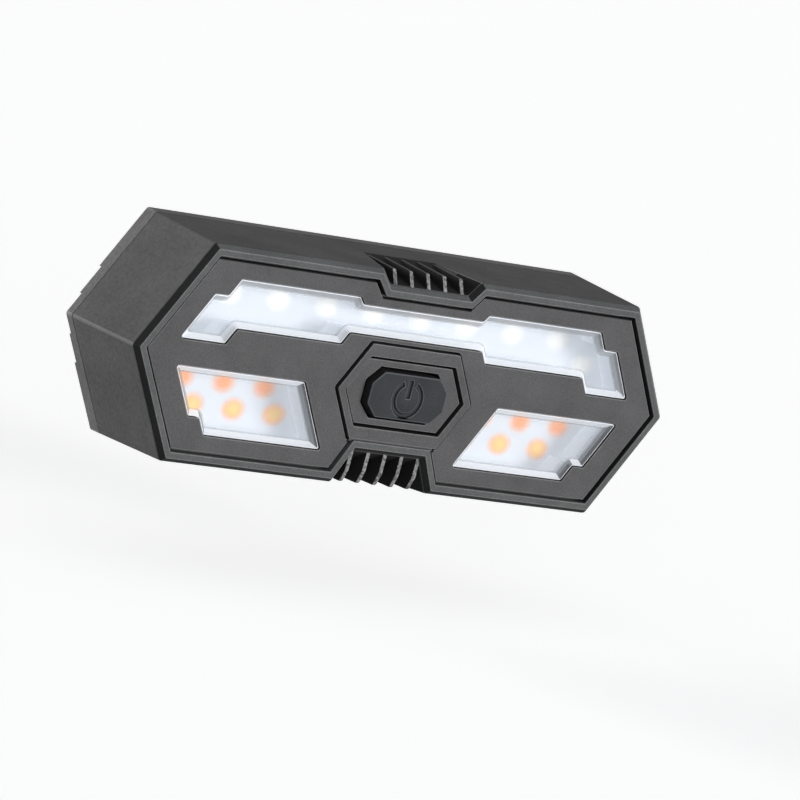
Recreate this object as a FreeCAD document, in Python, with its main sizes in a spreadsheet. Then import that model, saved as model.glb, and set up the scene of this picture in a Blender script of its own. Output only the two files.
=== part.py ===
import FreeCAD, Part
import math
import os
import re
import Sketcher

# Indicator tail light on a seat post bracket, in millimetres.
# The row frame has its origin on the seat post's axis at the light's mid height, +Z up the post.
# The light faces -Y. Pieces of the light are drawn in a light frame whose origin is the centre of the
# casing's front edge, with +Y towards the back, and are placed back by STANDOFF.

SIZES = [
    # casing outline at its front edge
    ("half_height", 17.0),
    ("corner_x", 41.7),
    ("facet_angle", 59.1),
    ("rear_flare", 0.62),
    ("shell_depth", 15.9),
    ("cover_depth", 2.45),
    ("wall", 1.8),
    ("ridge_radius", 0.6),
    ("cut_over", 1.0),
    # notches in the top and bottom edge
    ("top_floor", 14.65),
    ("top_half", 7.65),
    ("top_angle", 49.6),
    ("bottom_floor", 11.7),
    ("bottom_half", 6.45),
    ("bottom_angle", 62.0),
    ("notch_run", 9.2),
    ("notch_narrow", 0.7),
    ("rib_pitch", 3.27),
    ("rib_thickness", 0.8),
    ("rib_drop", 0.08),
    ("rib_start", 0.1),
    ("rib_root", 0.6),
    ("rib_short", 0.4),
    ("top_rib_lean", 1.4),
    ("top_rib_tail", 1.2),
    ("bottom_rib_face", 3.1),
    ("bottom_rib_lean", 0.9),
    ("bottom_rib_tail", 2.2),
    # front bezel
    ("bevel_inset", 0.75),
    ("bevel_depth", 0.95),
    ("band_width", 1.0),
    ("spigot_wall", 1.0),
    ("spigot_depth", 2.6),
    ("ledge_width", 0.6),
    ("fit_gap", 0.1),
    # face panel
    ("panel_gap", 0.45),
    ("panel_recess", 0.5),
    ("panel_thickness", 1.5),
    ("boss_radius", 1.25),
    ("inner_boss_x", 17.5),
    ("inner_boss_z", 0.5),
    ("outer_boss_x", 39.0),
    ("outer_boss_z", -0.05),
    # lenses
    ("lens_gap", 0.12),
    ("lens_recess", 1.2),
    ("lens_rim", 0.9),
    ("lens_rim_top", 0.15),
    ("lens_sink", 0.3),
    ("lens_flange", 0.5),
    ("lens_flange_depth", 0.8),
    ("upper_end_x", 44.0),
    ("upper_end_z", 1.95),
    ("upper_foot_x", 35.4),
    ("upper_under_z", 4.45),
    ("upper_middle_under_z", 6.35),
    ("upper_middle_x", 12.95),
    ("upper_step_z", 9.4),
    ("upper_step_width", 2.5),
    ("upper_top_z", 12.15),
    ("upper_dip_z", 11.05),
    ("upper_dip_x", 11.65),
    ("turn_top_z", -2.05),
    ("turn_bottom_z", -12.3),
    ("turn_outer_x", 43.4),
    ("turn_inner_x", 18.9),
    ("turn_step_z", -9.7),
    ("turn_step_width", 2.1),
    # button
    ("button_z", -2.15),
    ("ring_half", 7.55),
    ("ring_corner_x", 8.5),
    ("ring_gap", 0.3),
    ("ring_hole_half", 5.55),
    ("ring_hole_corner_x", 8.3),
    ("surround_gap", 0.4),
    ("button_flange", 0.8),
    ("button_flange_depth", 0.8),
    ("cap_half_width", 7.35),
    ("cap_half_height", 3.6),
    ("cap_corner", 2.0),
    ("cap_gap", 0.5),
    ("cap_proud", 1.2),
    ("cap_flange", 1.1),
    ("cap_flange_depth", 0.7),
    ("cap_float", 0.1),
    ("cap_stem_radius", 1.4),
    ("symbol_z", -2.4),
    ("symbol_radius", 2.6),
    ("symbol_line", 0.8),
    ("symbol_depth", 0.3),
    ("symbol_bar_low", 0.1),
    ("symbol_bar_high", 3.05),
    ("symbol_gap_half", 1.2),
    # board and what it carries
    ("board_front", 6.0),
    ("board_thickness", 1.0),
    ("board_gap", 0.2),
    ("chip_size", 2.8),
    ("chip_height", 0.75),
    ("tail_chip_pitch", 9.2),
    ("tail_chip_z", 8.7),
    ("tail_end_chip_x", 38.4),
    ("tail_end_chip_z", 5.2),
    ("turn_chip_pitch", 7.8),
    ("turn_chip_x", 21.4),
    ("turn_chip_z", -5.0),
    ("turn_row_shift", -3.0),
    ("turn_row_drop", 4.0),
    ("switch_width", 6.0),
    ("switch_height", 1.4),
    ("plunger_radius", 1.2),
    ("plunger_gap", 0.06),
    ("plunger_proud", 0.5),
    ("plunger_sunk", 0.3),
    ("board_screw_radius", 0.7),
    ("board_head_radius", 1.3),
    ("board_head_depth", 0.9),
    ("screw_gap", 0.05),
    ("screw_tip_gap", 0.2),
    ("head_sink", 0.1),
    ("slot_reach", 0.6),
    ("slot_half", 0.15),
    ("slot_depth", 0.4),
    ("board_screw_bite", 1.6),
    # light divider
    ("divider_wall", 0.6),
    ("divider_gap", 0.1),
    # battery, radio and charging port
    ("battery_length", 42.0),
    ("battery_height", 17.0),
    ("battery_z", 0.3),
    ("battery_gap", 1.0),
    ("pad_length", 22.0),
    ("pad_height", 12.0),
    ("pad_depth", 1.4),
    ("lead_radius", 0.6),
    ("lead_pitch", 2.4),
    ("lead_run", 1.2),
    ("lead_bend", 1.8),
    ("radio_x", -31.5),
    ("radio_z", 1.0),
    ("radio_length", 11.0),
    ("radio_height", 10.0),
    ("radio_board", 0.8),
    ("radio_header", 2.0),
    ("radio_chip", 4.0),
    ("port_inset", 11.7),
    ("port_width", 9.0),
    ("port_height", 3.2),
    ("port_shell", 0.3),
    ("port_length", 7.3),
    ("port_gap", 0.3),
    ("flap_length", 15.0),
    ("flap_width", 6.8),
    ("flap_thickness", 1.05),
    ("flap_gap", 0.25),
    ("flap_plug", 0.8),
    ("trunnion_radius", 0.4),
    ("trunnion_length", 0.7),
    ("trunnion_gap", 0.06),
    ("trunnion_end_gap", 0.3),
    ("bed_slack", 0.05),
    ("plug_gap", 0.12),
    ("port_tongue", 0.4),
    ("port_back", 1.0),
    # rear cover
    ("rebate_wall", 1.0),
    ("rebate_depth", 1.6),
    ("gasket_width", 0.6),
    ("gasket_depth", 0.6),
    ("channel_half", 7.6),
    ("channel_depth", 0.5),
    ("inner_channel_half", 3.2),
    ("inner_channel_depth", 0.95),
    ("case_boss_radius", 2.2),
    ("case_boss_gap", 0.3),
    ("case_screw_radius", 1.0),
    ("case_head_radius", 1.9),
    ("case_head_depth", 1.2),
    ("case_screw_bite", 4.5),
    ("corner_screw_back", 0.9),
    ("corner_screw_drop", 5.8),
    ("middle_screw_x", 16.0),
    ("middle_screw_drop", 3.6),
    # slide rail between light and bracket
    ("rail_half_width", 11.0),
    ("rail_height", 22.0),
    ("rail_base", 1.0),
    ("rail_lip", 1.2),
    ("rail_play", 0.25),
    ("rail_stop", 1.7),
    ("rail_screw_x", 9.3),
    ("rail_screw_z", 8.6),
    ("rail_screw_radius", 0.8),
    ("rail_head_radius", 1.25),
    ("rail_head_depth", 1.0),
    ("rail_screw_bite", 1.5),
    ("tongue_half_width", 7.2),
    ("tongue_neck_half", 4.5),
    ("tongue_depth", 2.0),
    ("saddle_gap", 0.35),
    # snap spring
    ("spring_width", 5.0),
    ("spring_length", 13.0),
    ("spring_thickness", 0.3),
    ("spring_pocket", 0.9),
    ("spring_bump", 0.9),
    ("bump_top", 0.3),
    ("bump_proud", 0.35),
    ("rivet_radius", 0.9),
    ("rivet_head", 0.3),
    ("rivet_head_radius", 1.45),
    ("rivet_hole", 1.0),
    # saddle, pad and strap
    ("post_radius", 13.6),
    ("pad_thickness", 1.6),
    ("pad_arc", 112.0),
    ("saddle_back", 3.4),
    ("saddle_half_width", 13.2),
    ("saddle_height", 21.0),
    ("saddle_arm_y", 7.6),
    ("strap_thickness", 2.4),
    ("strap_width", 15.0),
    ("strap_leave_angle", 10.0),
    ("strap_run", 11.0),
    ("eye_radius", 2.9),
    ("pin_radius", 1.3),
    ("pin_gap", 0.06),
    ("ear_gap", 0.3),
    ("strap_tail", 5.5),
    ("tail_root", 0.8),
]

RIBS = 5
TAIL_CHIPS = 8
TURN_CHIPS = 3

doc = FreeCAD.newDocument("IndicatorTailLight")
sheet = doc.addObject("Spreadsheet::Sheet", "Sizes")
for row, (alias, value) in enumerate(SIZES, start=1):
    sheet.set("A%d" % row, str(value))
    sheet.setAlias("A%d" % row, alias)
doc.recompute()
ALIASES = {alias for alias, value in SIZES}


def bound(text):
    """Write a sum of size names as an expression on the sheet."""
    return re.sub(r"[a-z_]+", lambda word: "Sizes." + word[0] if word[0] in ALIASES else word[0], text)


def value_of(text):
    """The number that a sum of size names has now."""
    return float(sheet.evalExpression(bound(text)))


def set_size(thing, name, text):
    thing.setExpression(name, bound(text))


# Levels along the depth, in the light frame
BEZEL_FRONT = "(-bevel_depth)"
PANEL_FRONT = "(panel_recess - bevel_depth)"
PANEL_BACK = "(panel_recess - bevel_depth + panel_thickness)"
LENS_FRONT = "(%s + lens_sink)" % PANEL_FRONT
FLANGE_BACK = "(%s + lens_flange_depth)" % PANEL_BACK
SURROUND_BACK = "(%s + 2 * button_flange_depth)" % PANEL_BACK
CAP_FRONT = "(%s - cap_proud)" % PANEL_FRONT
CAP_FLANGE_FRONT = "(%s + cap_float)" % SURROUND_BACK
CAP_FLANGE_BACK = "(%s + cap_flange_depth)" % CAP_FLANGE_FRONT
DIVIDER_FRONT = "(%s + divider_gap)" % SURROUND_BACK
REBATE_FRONT = "(shell_depth - rebate_depth)"
REAR_FACE = "(shell_depth + cover_depth)"
COVER_SLAB = "(%s + gasket_depth + fit_gap)" % REBATE_FRONT
BOARD_BACK = "(board_front + board_thickness)"

# Levels along the depth, in the row frame
SADDLE_FRONT = "(-post_radius - pad_thickness - saddle_back)"
TONGUE_BACK = "(%s - saddle_gap - rail_lip - rail_play)" % SADDLE_FRONT
TONGUE_FRONT = "(%s - tongue_depth)" % TONGUE_BACK
RAIL_FRONT = "(%s - rail_play - rail_base)" % TONGUE_FRONT
STANDOFF = "(%s - %s)" % (REAR_FACE, RAIL_FRONT)

# Offsets of the casing outline, outwards from its front edge
BEZEL_EDGE = "(-bevel_inset)"
PANEL_HOLE = "(-bevel_inset - band_width)"
PANEL_EDGE = "(-bevel_inset - band_width - panel_gap)"
LEDGE_EDGE = "(-bevel_inset - band_width - panel_gap - ledge_width)"


def corner(x, z, up, out, lean, angle):
    """A corner between a level edge that faces up (1), down (-1) or is missing (0) and a slanted edge
    that faces out in x (1 or -1) and leans up or down (1, -1 or 0), at an angle to the level."""
    return (x, z, up, out, lean, angle)


def grown(corners, by):
    """The corners moved so that every edge lies further out by one distance."""
    points = []
    for x, z, up, out, lean, angle in corners:
        side = "%d * (%s) * (1 - %d * cos(%s * 1deg)) / sin(%s * 1deg)" % (out, by, up * lean, angle, angle)
        points.append(("%s + %s" % (x, side), "%s + %d * (%s)" % (z, up, by)))
    return points


def mirrored(corners):
    """The same corners on the other side, in reverse order."""
    other = []
    for x, z, up, out, lean, angle in reversed(corners):
        other.append(("-(%s)" % x, z, up, -out, lean, angle))
    return other


def both_sides(corners):
    return corners + mirrored(corners)


def facet_run(rise):
    """How far a line parallel to the casing's end facets goes sideways over a rise."""
    return "(%s) / tan(facet_angle * 1deg)" % rise


def notch_run_out(name):
    return "(half_height - %s_floor) / tan(%s_angle * 1deg)" % (name, name)


TOP_NOTCH = [
    corner("top_half", "top_floor", 1, -1, 1, "top_angle"),
    corner("top_half + " + notch_run_out("top"), "half_height", 1, -1, 1, "top_angle"),
]
END = [
    corner("corner_x", "half_height", 1, 1, 1, "facet_angle"),
    corner("corner_x + " + facet_run("half_height"), "0", 0, 1, 0, "facet_angle"),
    corner("corner_x", "-half_height", -1, 1, -1, "facet_angle"),
]
BOTTOM_NOTCH = [
    corner("bottom_half + " + notch_run_out("bottom"), "-half_height", -1, -1, -1, "bottom_angle"),
    corner("bottom_half", "-bottom_floor", -1, -1, -1, "bottom_angle"),
]
HEXAGON = both_sides(END)
UPPER_LENS = both_sides([
    corner("upper_dip_x", "upper_dip_z", 1, -1, 1, "top_angle"),
    corner("upper_dip_x + (upper_top_z - upper_dip_z) / tan(top_angle * 1deg)", "upper_top_z",
           1, -1, 1, "top_angle"),
    corner("upper_end_x - upper_step_width - " + facet_run("upper_top_z - upper_end_z"), "upper_top_z",
           1, 1, 1, "facet_angle"),
    corner("upper_end_x - upper_step_width - " + facet_run("upper_step_z - upper_end_z"), "upper_step_z",
           1, 1, 1, "facet_angle"),
    corner("upper_end_x - " + facet_run("upper_step_z - upper_end_z"), "upper_step_z",
           1, 1, 1, "facet_angle"),
    corner("upper_end_x", "upper_end_z", -1, 1, 1, "facet_angle"),
    corner("upper_foot_x", "upper_end_z", -1, -1, -1, "facet_angle"),
    corner("upper_foot_x - " + facet_run("upper_under_z - upper_end_z"), "upper_under_z",
           -1, -1, -1, "facet_angle"),
    corner("upper_middle_x + " + facet_run("upper_middle_under_z - upper_under_z"), "upper_under_z",
           -1, -1, -1, "facet_angle"),
    corner("upper_middle_x", "upper_middle_under_z", -1, -1, -1, "facet_angle"),
])
RIGHT_LENS = [
    corner("turn_inner_x", "turn_top_z", 1, -1, 1, "facet_angle"),
    corner("turn_outer_x", "turn_top_z", 1, 1, -1, "facet_angle"),
    corner("turn_outer_x - " + facet_run("turn_top_z - turn_step_z"), "turn_step_z",
           -1, 1, -1, "facet_angle"),
    corner("turn_outer_x - turn_step_width - " + facet_run("turn_top_z - turn_step_z"), "turn_step_z",
           -1, 1, -1, "facet_angle"),
    corner("turn_outer_x - turn_step_width - " + facet_run("turn_top_z - turn_bottom_z"), "turn_bottom_z",
           -1, 1, -1, "facet_angle"),
    corner("turn_inner_x - " + facet_run("turn_top_z - turn_bottom_z"), "turn_bottom_z",
           -1, -1, 1, "facet_angle"),
]
LEFT_LENS = mirrored(RIGHT_LENS)


def hexagon(half, corner_x):
    """A hexagon round the button, with ends parallel to the casing's."""
    return both_sides([
        corner(corner_x, "button_z + " + half, 1, 1, 1, "facet_angle"),
        corner("%s + %s" % (corner_x, facet_run(half)), "button_z", 0, 1, 0, "facet_angle"),
        corner(corner_x, "button_z - " + half, -1, 1, -1, "facet_angle"),
    ])


def octagon(by):
    """The cap's outline, grown by a distance, round the button's centre."""
    wide = "(cap_half_width + (%s))" % by
    high = "(cap_half_height + (%s))" % by
    cut = "(cap_corner + (%s) * (2 - sqrt(2)))" % by
    points = []
    for right, top, across in ((1, 1, 1), (1, 1, 0), (1, -1, 0), (1, -1, 1),
                               (-1, -1, 1), (-1, -1, 0), (-1, 1, 0), (-1, 1, 1)):
        x = "%d * (%s - %d * %s)" % (right, wide, across, cut)
        z = "button_z + %d * (%s - %d * %s)" % (top, high, 1 - across, cut)
        points.append((x, z))
    return points


def rectangle(low_x, high_x, low_z, high_z):
    return [(low_x, low_z), (high_x, low_z), (high_x, high_z), (low_x, high_z)]


def casing(by, bottom_by=None):
    """The casing's outline with both notches, grown by a distance."""
    bottom = grown(BOTTOM_NOTCH, bottom_by or by)
    bottom[0] = (bottom[0][0], "-half_height - (%s)" % by)
    if bottom_by:
        rise = "(half_height + (%s) - bottom_floor - (%s))" % (by, bottom_by)
        bottom[0] = ("%s + %s / tan(bottom_angle * 1deg)" % (bottom[1][0], rise), bottom[0][1])
    right = grown(TOP_NOTCH + END, by) + bottom
    left = [("-(%s)" % x, z) for x, z in reversed(right)]
    return right + left


def start_body(label, in_light=True):
    """An empty sub-part with its own label, placed in the row frame."""
    body = doc.addObject("PartDesign::Body", label)
    body.Label = label
    if in_light:
        set_size(body, "Placement.Base.y", "-" + STANDOFF)
    return body


PLANES = {"front": ("XZ_Plane", -1), "level": ("XY_Plane", 1), "side": ("YZ_Plane", 1)}


def start_sketch(body, plane, at):
    """A sketch on one of the sub-part's own planes, moved along that plane's axis."""
    role, sign = PLANES[plane]
    sketch = body.newObject("Sketcher::SketchObject", "Outline")
    base = [item for item in body.Origin.OriginFeatures if item.Role == role][0]
    sketch.AttachmentSupport = [(base, "")]
    sketch.MapMode = "FlatFace"
    set_size(sketch, "AttachmentOffset.Base.z", "%d * (%s)" % (sign, at))
    return sketch


def tie(sketch, kind, geometry, point, text):
    """Hold one coordinate of a point to a size."""
    index = sketch.addConstraint(Sketcher.Constraint(kind, -1, 1, geometry, point, value_of(text)))
    sketch.setExpression("Constraints[%d]" % index, bound(text))


def draw_outline(sketch, points):
    """A closed outline through the given places."""
    first = sketch.GeometryCount
    places = [FreeCAD.Vector(value_of(x), value_of(z), 0) for x, z in points]
    count = len(places)
    for step in range(count):
        sketch.addGeometry(Part.LineSegment(places[step], places[(step + 1) % count]), False)
    for step in range(count):
        after = first + (step + 1) % count
        sketch.addConstraint(Sketcher.Constraint("Coincident", first + step, 2, after, 1))
    for step, (x, z) in enumerate(points):
        tie(sketch, "DistanceX", first + step, 1, x)
        tie(sketch, "DistanceY", first + step, 1, z)


def draw_circle(sketch, x, z, radius):
    place = FreeCAD.Vector(value_of(x), value_of(z), 0)
    circle = Part.Circle(place, FreeCAD.Vector(0, 0, 1), value_of(radius))
    index = sketch.addGeometry(circle, False)
    tie(sketch, "DistanceX", index, 3, x)
    tie(sketch, "DistanceY", index, 3, z)
    size = sketch.addConstraint(Sketcher.Constraint("Radius", index, value_of(radius)))
    sketch.setExpression("Constraints[%d]" % size, bound(radius))


def finish_prism(body, sketch, length, cut, backwards):
    kind = "PartDesign::Pocket" if cut else "PartDesign::Pad"
    feature = body.newObject(kind, "Cut" if cut else "Block")
    feature.Profile = sketch
    set_size(feature, "Length", length)
    feature.Reversed = backwards != cut
    doc.recompute()
    return feature


def prism(body, points, front, back, cut=False):
    """A block or cut of one outline between two levels of depth."""
    sketch = start_sketch(body, "front", front)
    draw_outline(sketch, points)
    return finish_prism(body, sketch, "(%s) - (%s)" % (back, front), cut, True)


def rods(body, places, radius, front, back, cut=False):
    """Round bosses or holes along the depth, between two levels."""
    sketch = start_sketch(body, "front", front)
    for x, z in places:
        draw_circle(sketch, x, z, radius)
    return finish_prism(body, sketch, "(%s) - (%s)" % (back, front), cut, True)


def side_prism(body, points, low, high, cut=False):
    """A block or cut drawn in the YZ plane, between two places along x."""
    sketch = start_sketch(body, "side", low)
    draw_outline(sketch, points)
    return finish_prism(body, sketch, "(%s) - (%s)" % (high, low), cut, False)


def level_prism(body, points, low, high, cut=False):
    """A block or cut drawn in the XY plane, between two heights."""
    sketch = start_sketch(body, "level", low)
    draw_outline(sketch, points)
    return finish_prism(body, sketch, "(%s) - (%s)" % (high, low), cut, False)


def level_rods(body, places, radius, low, high, cut=False):
    """Round bosses or holes along the height, between two heights."""
    sketch = start_sketch(body, "level", low)
    for x, y in places:
        draw_circle(sketch, x, y, radius)
    return finish_prism(body, sketch, "(%s) - (%s)" % (high, low), cut, False)


def loft(body, first_points, first_level, second_points, second_level, cut=False):
    """A block or cut that changes from one outline to another along the depth."""
    first = start_sketch(body, "front", first_level)
    draw_outline(first, first_points)
    second = start_sketch(body, "front", second_level)
    draw_outline(second, second_points)
    kind = "PartDesign::SubtractiveLoft" if cut else "PartDesign::AdditiveLoft"
    feature = body.newObject(kind, "Loft")
    feature.Profile = first
    feature.Sections = [second]
    feature.Ruled = True
    doc.recompute()
    return feature


def round_ridges(body, feature, depth):
    """Round the edges that run the whole depth of a casing shell."""
    names = []
    for number, edge in enumerate(feature.Shape.Edges, start=1):
        if edge.BoundBox.YLength > 0.98 * value_of(depth):
            names.append("Edge%d" % number)
    fillet = body.newObject("PartDesign::Fillet", "Ridges")
    fillet.Base = (feature, names)
    set_size(fillet, "Radius", "ridge_radius")
    doc.recompute()
    return fillet


def flare_at(level):
    """How far the casing's outline has grown at a level of depth."""
    return "(rear_flare * (%s) / %s)" % (level, REAR_FACE)


def flared(body, front, back):
    """A length of the casing, which widens evenly towards the back."""
    block = prism(body, grown(HEXAGON, flare_at(front)), front, back)
    set_size(block, "TaperAngle", "atan(rear_flare / %s)" % REAR_FACE)
    doc.recompute()
    return block


# Housing


def ramp(body, name, sign):
    """Cut one notch as a ramp that runs out in the top or bottom face towards the back."""
    floor = name + "_floor"
    far = "(half_height + rear_flare + cut_over)"
    slope = "((half_height + %s - %s) / notch_run)" % (flare_at("notch_run"), floor)
    over = "(notch_run + cut_over)"

    def section(level, narrow):
        low = "(%s + %s * (%s))" % (floor, slope, level)
        half = "(%s_half - %s)" % (name, narrow)
        wide = "(%s + (%s - %s) / tan(%s_angle * 1deg))" % (half, far, low, name)
        return [
            (half, "%d * %s" % (sign, low)),
            (wide, "%d * %s" % (sign, far)),
            ("-" + wide, "%d * %s" % (sign, far)),
            ("-" + half, "%d * %s" % (sign, low)),
        ]

    loft(body, section("(-cut_over)", "0"), "(-cut_over)", section(over, "notch_narrow"), over, cut=True)


def ribs(body, name, sign, profile):
    """The row of upright ribs that stand in a notch."""
    for step in range(RIBS):
        middle = "(%g * rib_pitch)" % (step - (RIBS - 1) / 2)
        points = [(y, "%d * (%s)" % (sign, z)) for y, z in profile]
        side_prism(body, points, "(%s - rib_thickness / 2)" % middle, "(%s + rib_thickness / 2)" % middle)


housing = start_body("housing")
outer = flared(housing, "0", "shell_depth")
round_ridges(housing, outer, "shell_depth")
ramp(housing, "top", 1)
ramp(housing, "bottom", -1)
RIB_BACK = "(notch_run - rib_short)"
ribs(housing, "top", 1, [
    ("rib_start", "top_floor - rib_root"),
    ("rib_start", "top_floor"),
    ("top_rib_lean", "half_height - rib_drop"),
    (RIB_BACK, "half_height - rib_drop + " + flare_at(RIB_BACK)),
    (RIB_BACK, "half_height - top_rib_tail"),
])
ribs(housing, "bottom", -1, [
    ("rib_start", "bottom_floor - rib_root"),
    ("rib_start", "bottom_floor + bottom_rib_face"),
    ("bottom_rib_lean", "half_height - rib_drop"),
    (RIB_BACK, "half_height - rib_drop + " + flare_at(RIB_BACK)),
    (RIB_BACK, "half_height - bottom_rib_tail"),
])
prism(housing, casing("-wall"), "0", "shell_depth", cut=True)
prism(housing, casing("-spigot_wall"), "0", "spigot_depth", cut=True)
prism(housing, casing("-rebate_wall"), REBATE_FRONT, "shell_depth", cut=True)
CORNER_SCREW_X = "(corner_x - corner_screw_back)"
CORNER_SCREW_Z = "(half_height - corner_screw_drop)"
MIDDLE_SCREW_Z = "(half_height - middle_screw_drop)"
CASE_SCREWS = [
    (CORNER_SCREW_X, CORNER_SCREW_Z), ("-" + CORNER_SCREW_X, CORNER_SCREW_Z),
    (CORNER_SCREW_X, "-" + CORNER_SCREW_Z), ("-" + CORNER_SCREW_X, "-" + CORNER_SCREW_Z),
    ("middle_screw_x", MIDDLE_SCREW_Z), ("-middle_screw_x", MIDDLE_SCREW_Z),
]
BOSS_FRONT = "(%s + case_boss_gap)" % BOARD_BACK
rods(housing, CASE_SCREWS, "case_boss_radius", BOSS_FRONT, REBATE_FRONT)
rods(housing, CASE_SCREWS, "(case_screw_radius + screw_gap)",
     "(%s - case_screw_bite - screw_tip_gap)" % REBATE_FRONT, REBATE_FRONT, cut=True)

# Charging port opening, with a shallow bed for its flap
PORT_X = "(corner_x - port_inset)"
PORT_Y = "(%s + port_height / 2)" % BOARD_BACK
FLAP_FACE = "(-half_height - %s)" % flare_at("(%s - flap_width / 2)" % PORT_Y)
FLAP_INSIDE = "(%s + flap_thickness)" % FLAP_FACE
HINGE_X = "(%s - flap_length / 2 + flap_thickness / 2)" % PORT_X
HINGE_Z = "(%s + flap_thickness / 2)" % FLAP_FACE
BED_LOW = "(%s - flap_length / 2 - flap_gap)" % PORT_X
BED_HIGH = "(%s + flap_length / 2 + flap_gap)" % PORT_X
BED_FRONT = "(%s - flap_width / 2 - flap_gap)" % PORT_Y
BED_BACK = "(%s + flap_width / 2 + flap_gap)" % PORT_Y
FAR_DOWN = "(-half_height - rear_flare - cut_over)"
prism(housing, rectangle(BED_LOW, BED_HIGH, FAR_DOWN, "(%s + bed_slack)" % FLAP_INSIDE), BED_FRONT, BED_BACK,
      cut=True)
MOUTH_HALF = "(port_width / 2 + port_gap)"
prism(housing, rectangle("(%s - %s)" % (PORT_X, MOUTH_HALF), "(%s + %s)" % (PORT_X, MOUTH_HALF), FAR_DOWN,
                         "(-half_height + wall + cut_over)"),
      "(%s - port_height / 2 - port_gap)" % PORT_Y, "(%s + port_height / 2 + port_gap)" % PORT_Y, cut=True)
rods(housing, [(HINGE_X, HINGE_Z)], "(trunnion_radius + trunnion_gap)",
     "(%s - trunnion_length - trunnion_end_gap)" % BED_FRONT,
     "(%s + trunnion_length + trunnion_end_gap)" % BED_BACK, cut=True)

# Rear cover
rear_cover = start_body("rear_cover")
plate = flared(rear_cover, "shell_depth", REAR_FACE)
round_ridges(rear_cover, plate, "cover_depth")
prism(rear_cover, casing("(-rebate_wall - fit_gap)"), COVER_SLAB, "shell_depth")
FAR_SIDE = "(corner_x + half_height)"
prism(rear_cover, rectangle("-" + FAR_SIDE, FAR_SIDE, "-channel_half", "channel_half"),
      "(%s - channel_depth)" % REAR_FACE, "(%s + cut_over)" % REAR_FACE, cut=True)
prism(rear_cover, rectangle("-" + FAR_SIDE, FAR_SIDE, "-inner_channel_half", "inner_channel_half"),
      "(%s - inner_channel_depth)" % REAR_FACE, "(%s + cut_over)" % REAR_FACE, cut=True)
rods(rear_cover, CASE_SCREWS, "(case_screw_radius + screw_gap)", COVER_SLAB, REAR_FACE, cut=True)
rods(rear_cover, CASE_SCREWS, "(case_head_radius + screw_gap)", "(%s - case_head_depth)" % REAR_FACE,
     "(%s + cut_over)" % REAR_FACE, cut=True)
RAIL_SCREWS = [
    ("rail_screw_x", "rail_screw_z"), ("-rail_screw_x", "rail_screw_z"),
    ("rail_screw_x", "-rail_screw_z"), ("-rail_screw_x", "-rail_screw_z"),
]
rods(rear_cover, RAIL_SCREWS, "(rail_screw_radius + screw_gap)", "(%s - rail_screw_bite)" % REAR_FACE,
     "(%s + cut_over)" % REAR_FACE, cut=True)

# Gasket between the cover's slab and the step in the shell
case_gasket = start_body("case_gasket")
prism(case_gasket, casing("(-rebate_wall - fit_gap)"), REBATE_FRONT, "(%s + gasket_depth)" % REBATE_FRONT)
prism(case_gasket, casing("(-rebate_wall - fit_gap - gasket_width)"), REBATE_FRONT,
      "(%s + gasket_depth)" % REBATE_FRONT, cut=True)

# Rows of small parts as groups of separate solids


def cylinder(name, radius, x, y, z, length, along="depth"):
    """A round rod that starts at a place and runs back or up."""
    rod = doc.addObject("Part::Cylinder", name)
    if along == "depth":
        rod.Placement.Rotation = FreeCAD.Rotation(FreeCAD.Vector(1, 0, 0), -90)
    set_size(rod, "Radius", radius)
    set_size(rod, "Height", length)
    put(rod, x, y, z)
    return rod


def box(name, low_x, high_x, low_y, high_y, low_z, high_z):
    block = doc.addObject("Part::Box", name)
    set_size(block, "Length", "(%s) - (%s)" % (high_x, low_x))
    set_size(block, "Width", "(%s) - (%s)" % (high_y, low_y))
    set_size(block, "Height", "(%s) - (%s)" % (high_z, low_z))
    put(block, low_x, low_y, low_z)
    return block


def put(thing, x, y, z):
    set_size(thing, "Placement.Base.x", x)
    set_size(thing, "Placement.Base.y", y)
    set_size(thing, "Placement.Base.z", z)


def joined(kind, base, tool, name):
    """Two pieces joined, or the second one cut from the first."""
    result = doc.addObject(kind, name)
    result.Base = base
    result.Tool = tool
    return result


def group(label, pieces, in_light=True):
    """Identical loose pieces that share a node."""
    bundle = doc.addObject("Part::Compound", label)
    bundle.Label = label
    bundle.Links = pieces
    if in_light:
        set_size(bundle, "Placement.Base.y", "-" + STANDOFF)
    return bundle


def screw(x, z, radius, tip, head_front, head_radius, head_back):
    """A screw along the depth with its slotted head at the back."""
    shank = cylinder("Shank", radius, x, tip, z, "(%s) - (%s)" % (head_front, tip))
    head = cylinder("Head", head_radius, x, head_front, z, "(%s) - (%s)" % (head_back, head_front))
    whole = joined("Part::Fuse", shank, head, "Screw")
    reach = "slot_reach * %s" % head_radius
    half = "slot_half * %s" % head_radius
    slot = box("Slot", "(%s - %s)" % (x, reach), "(%s + %s)" % (x, reach),
               "(%s - slot_depth * (%s - %s))" % (head_back, head_back, head_front),
               "(%s + cut_over)" % head_back, "(%s - %s)" % (z, half), "(%s + %s)" % (z, half))
    return joined("Part::Cut", whole, slot, "SlottedScrew")


# Screws that hold the cover to the shell
CASE_HEAD_FRONT = "(%s - case_head_depth)" % REAR_FACE
case_screws = group("case_screws", [
    screw("(%s)" % x, "(%s)" % z, "case_screw_radius", "(%s - case_screw_bite)" % REBATE_FRONT,
          CASE_HEAD_FRONT, "case_head_radius", "(%s - head_sink)" % REAR_FACE)
    for x, z in CASE_SCREWS
])

# Front bezel: bevelled band, spigot into the shell and ledge behind the panel
front_bezel = start_body("front_bezel")
loft(front_bezel, casing(BEZEL_EDGE), BEZEL_FRONT, casing("0"), "0")
prism(front_bezel, casing("(-spigot_wall - fit_gap)"), "0", "spigot_depth")
prism(front_bezel, casing(PANEL_HOLE), BEZEL_FRONT, PANEL_BACK, cut=True)
prism(front_bezel, casing(LEDGE_EDGE, PANEL_HOLE), BEZEL_FRONT, "spigot_depth", cut=True)

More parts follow.
